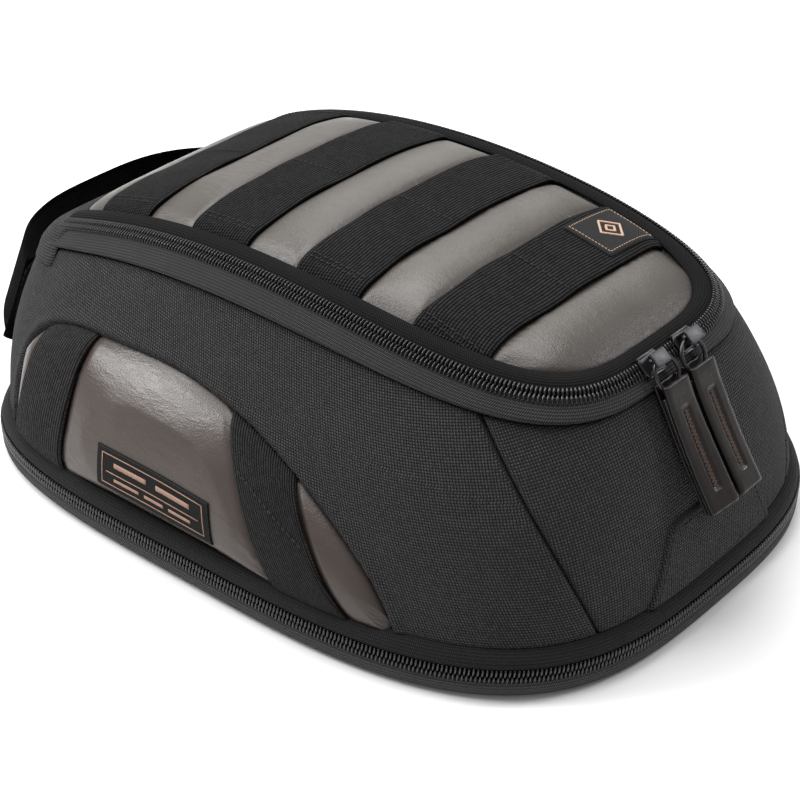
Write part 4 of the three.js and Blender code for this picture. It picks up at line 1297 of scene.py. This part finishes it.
def slider(name, sign, place, body):
    """A cast slider: a waisted upper plate with folded sides and a flat bridge along the zip."""
    turn = np.linspace(0, 2 * np.pi, 40, endpoint=False)
    waist = 4.2 - 0.9 * np.exp(-((np.cos(turn) * 5.6 - 1.0 * sign) / 2.2) ** 2) - 0.5 * (np.cos(turn) * sign < -0.6)
    plate = plate_outline(turn, 5.6, waist, (0.45, 0.55))
    parts = [block("plate", plate, 1.3, 2.5, 0.35, METAL, place)]
    for y in (-3.85, 3.85):
        parts.append(block("side", rounded_outline(9.4, 0.7, 0.3, at=(0, y)), 0.1, 2.0, 0.12, METAL, place))
    for y in (-2.2, 2.2):
        post = rounded_outline(3.0, 1.2, 0.35, at=(-sign * 2.2, y))
        parts.append(block("post", post, 2.2, 7.1, 0.1, METAL, place))
    parts.append(block("bridge", rounded_outline(7.8, 5.4, 0.7), 6.4, 7.5, 0.3, METAL, place))
    piece = merged(name + "_slider_body", parts)
    fit_out(piece, body, "gunmetal", name + "_slider")


def pull_frame(sign):
    """The ring's middle, and the directions down along the pull and out from it."""
    top = np.array([0, -math.sin(ZIP_TILT), math.cos(ZIP_TILT)])
    down = np.array([0, -math.cos(PULL_ANGLE), -math.sin(PULL_ANGLE)])
    out = np.array([0, -math.sin(PULL_ANGLE), math.cos(PULL_ANGLE)])
    pivot = zip_middle() + np.array([sign * PULL_X, 0, 0]) + top * 4.9
    return pivot + down * RING_RADIUS, down, out


def pull_ring(name, sign):
    """The wire ring between a slider and its leather pull."""
    middle, down, _ = pull_frame(sign)
    turn = np.linspace(0, 2 * np.pi, 73)[:-1]
    line = middle + RING_RADIUS * (np.cos(turn)[:, None] * RIGHT + np.sin(turn)[:, None] * down)
    piece = tube(name + "_wire_ring", line, 0.78, METAL)
    fit_out(piece, name + "_ring", "gunmetal", name + "_pull_ring")


def leather_pull(name, sign):
    """Two leathers sewn to a black core, with a sunk channel of zigzag stitches down the front."""
    middle, down, out = pull_frame(sign)

    def at(x, b, c):
        """The place x across the pull, b down it and c out of it, with its slight twist and bend."""
        twist = math.radians(9 if sign < 0 else -3) * smooth((b - 6) / 40)
        bend = -0.9 * np.sin(np.clip((b - 2) / 50, 0, 1) * np.pi)
        c = c + bend
        return (middle + (x * np.cos(twist) - c * np.sin(twist))[..., None] * RIGHT + b[..., None] * down
                + (c * np.cos(twist) + x * np.sin(twist))[..., None] * out)

    def layer(title, low, high, b0, b1, inset, groove, finish, fullness):
        b, u = np.meshgrid(np.linspace(b0, b1, 90), np.linspace(-1, 1, 40), indexing="ij")
        x = u * (PULL_HALF - inset)
        b = b + 0.12 * np.sin(x * 1.3)
        side = np.minimum((1 - np.abs(u)) * PULL_HALF, np.minimum(b - b.min(), b.max() - b))
        facing = np.sign(high - low)
        swell = fullness * smooth(1 - np.abs(b - 4) / 9)
        sunk = groove * smooth((2.5 - np.abs(x)) / 1.6) * smooth((b - 12) / 1.5) * smooth((44.5 - b) / 1.5)
        crown = 0.25 * smooth((PULL_HALF - np.abs(x)) / 2)
        lift = high + swell + rolled(side, 0.6) * facing - sunk + crown * facing
        # The edge mark is painted shade along each leather layer's rolled sides and ends.
        piece = sheet_piece(title, at(x, b, lift)[::-1], at(x, b, low + swell + 0 * x)[::-1], finish,
                            marks={"edge": np.exp(-side / 0.8)[::-1]})
        outward(piece)
        return piece
    front = layer(name + "_pull_front", 1.0, 2.6, 3.2, 51.4, 0.0, 0.85, PULL_HIDE, 0.35)
    back = layer(name + "_pull_back", -1.0, -2.4, 1.9, 51.2, 0.2, 0.0, PULL_HIDE, -0.35)
    core = layer(name + "_pull_core", -1.0, 1.0, 7.4, 51.3, 0.25, 0.0, BLACK_CORE, 0.0)
    fit_out(front, name + "_tab", "pull_leather", name + "_pull_tab")
    fit_out(back, name + "_tab", "pull_leather")
    fit_out(core, name + "_tab", "pull_leather")
    paths = []
    for k in (-0.42, 0.42):
        zig = np.arange(14.0, 43.5, 0.75)
        wave = k + 0.45 * np.where(np.arange(len(zig)) % 2, 1, -1)
        paths.append((at(wave, zig, np.full_like(zig, 2.12)), out))
    thread = stitched(name + "_pull_stitches", paths, 0.85, 1.35, 0.55, BROWN_THREAD)
    fit_out(thread, name + "_tab", "pull_leather")


def expansion_slider():
    """The base zip's slider and its flat pull, on the front end."""
    y = float(outline(BASE, math.radians(90))[0][1])
    origin = np.array([-40.0, y - 0.35, COIL_Z])

    def place(p):
        return origin - p[:, :1] * RIGHT + p[:, 1:2] * UP + p[:, 2:3] * np.array([0, 1.0, 0])
    plate = plate_outline(np.linspace(0, 2 * np.pi, 36, endpoint=False), 5.5, 4.0, (0.5, 0.6))
    parts = [block("plate", plate, 1.4, 2.4, 0.3, METAL, place)]
    for x in (-3.6, 3.6):
        parts.append(block("post", rounded_outline(1.6, 3.0, 0.4, at=(x, 0)), 2.2, 5.2, 0.1, METAL, place))
    parts.append(block("bridge", rounded_outline(8.8, 3.2, 0.6), 4.9, 5.8, 0.25, METAL, place))
    fit_out(merged("expansion_slider_body", parts), "expansion_slider", "gunmetal", "expansion_slider")
    tab = block("expansion_flat_pull", rounded_outline(18, 5, 1.6, at=(15.5, 0)), 2.85, 3.75, 0.25, METAL, place)
    fit_out(tab, "expansion_pull", "gunmetal", "expansion_pull")


# ---- Inside --------------------------------------------------------------------------------------
def body_lining():
    """The lining of the walls, with a collar up to the zip."""
    v, u = np.meshgrid(np.linspace(0.03, 0.97, 26), np.linspace(0, 1, 241)[:-1], indexing="ij")
    grid = wall(360 * u, v)
    swell = -7.4 + ripples(grid, 34, 0.3, 41)
    line, side, up = zip_frame(np.radians(360 * u[:1]))
    low = grid + normals(grid, True) * swell[..., None]
    collar = line + side * 5.5 - up * 3.4
    grid = np.concatenate([low, 0.5 * low[-1:] + 0.5 * collar, collar, line + side * 2.2 - up * 2.0])
    walls = sheet_piece("body_lining_cloth", grid, grid - normals(grid, True) * 0.7, LINING, True)
    fit_out(walls, "body", "lining", "body_lining")
    lay_cloth(grid, True)


def floor_lining():
    inside = dict(BASE, half=HALF_WIDTH - 10, front=HALF_LENGTH - 10, rear=HALF_LENGTH - 10)
    x, y, reach = spread_over(inside, 60, 80)
    grid = np.stack([x, y, 0 * x + 5.0], -1)
    raised = ripples(grid, 40, 0.12, 42) * smooth((1 - reach) / 0.1) + rolled((1 - reach) * 110, 0.4)
    floor = sheet_piece("floor_lining_cloth", grid + UP * raised[..., None], grid - 0.6 * UP, LINING)
    fit_out(floor, "base", "lining", "floor_lining")
    lay_cloth(grid)


def lid_lining():
    """The lid's lining, and a mesh pocket with a bound mouth on it."""
    x, y, reach = spread_over(shrunk(8.5), 70, 110)
    drop = 7.2 - ripples(np.stack([x, y, 0 * x], -1), 36, 0.25, 43) * smooth((1 - reach) / 0.1)
    grid = np.stack([x, y, lid_top(x, y) - drop], -1)
    piece = sheet_piece("lid_lining_cloth", grid, grid - 0.7 * UP, LINING)
    fit_out(piece, "lid", "lining", "lid_lining")
    lay_cloth(grid)
    v, u = np.meshgrid(np.linspace(0, 1, 40), np.linspace(-1, 1, 50), indexing="ij")
    x, y = u * POCKET_HALF, POCKET_FROM + POCKET_LENGTH * v
    away = np.minimum((1 - np.abs(u)) * POCKET_HALF, np.minimum(v, 1 - v) * POCKET_LENGTH)
    z = lid_top(x, y) - 8.3 - 0.8 * smooth(away / 12)
    grid = np.stack([x, y, z], -1)
    pocket = sheet_piece("lid_mesh_pocket", grid, grid - 0.5 * UP, MESH)
    fit_out(pocket, "lid", "lining")
    lay_cloth(grid)
    hem = np.stack([x[-1], y[-1], lid_top(x[-1], y[-1]) - 8.9], -1)
    binding = tube("lid_pocket_binding", hem, 0.9, BAND, False)
    fit_out(binding, "lid", "lining")


def gusset():
    """The folded cloth that opens between the base and the body."""
    heights = np.linspace(5.4, 12.8, 43)
    inset = 6.0 - 3.9 * np.cos(np.linspace(0, 6 * np.pi, 43))
    angles = np.radians(np.linspace(0, 360, 361)[:-1])
    side = base_frame(angles)[1]
    outer = np.array([base_frame(angles, z)[0] - side * back for z, back in zip(heights, inset)])
    piece = sheet_piece("expansion_gusset_cloth", outer, outer - side * 0.35, GUSSET, True)
    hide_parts("expansion_gusset")
    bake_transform(piece)
    lay_cloth(outer, True)


# ---- Finishes for the solids that stay -----------------------------------------------------------
def dress_frame():
    """Gives the boards and foams that stay as packed their own finishes."""
    finishes = {"board": GROUND, "foam": FOAM}
    for row in frame["record"]["subparts"]:
        node = frame["nodes"][row["node"]]
        if row["material_slot"] in finishes:
            node.data.materials.clear()
            node.data.materials.append(finishes[row["material_slot"]])


set_stage()
main_zip()
expansion_zip()
side_panels()
end_panels()
rear_patch()
side_leather()
side_straps()
side_label()
lid_shell()
lid_leather()
lid_straps()
lid_patch()
handle()
for side_name, hand in (("left", -1), ("right", 1)):
    slider(side_name, hand, on_zip(hand), side_name + "_slider")
    pull_ring(side_name, hand)
    leather_pull(side_name, hand)
expansion_slider()
body_lining()
floor_lining()
lid_lining()
gusset()
dress_frame()
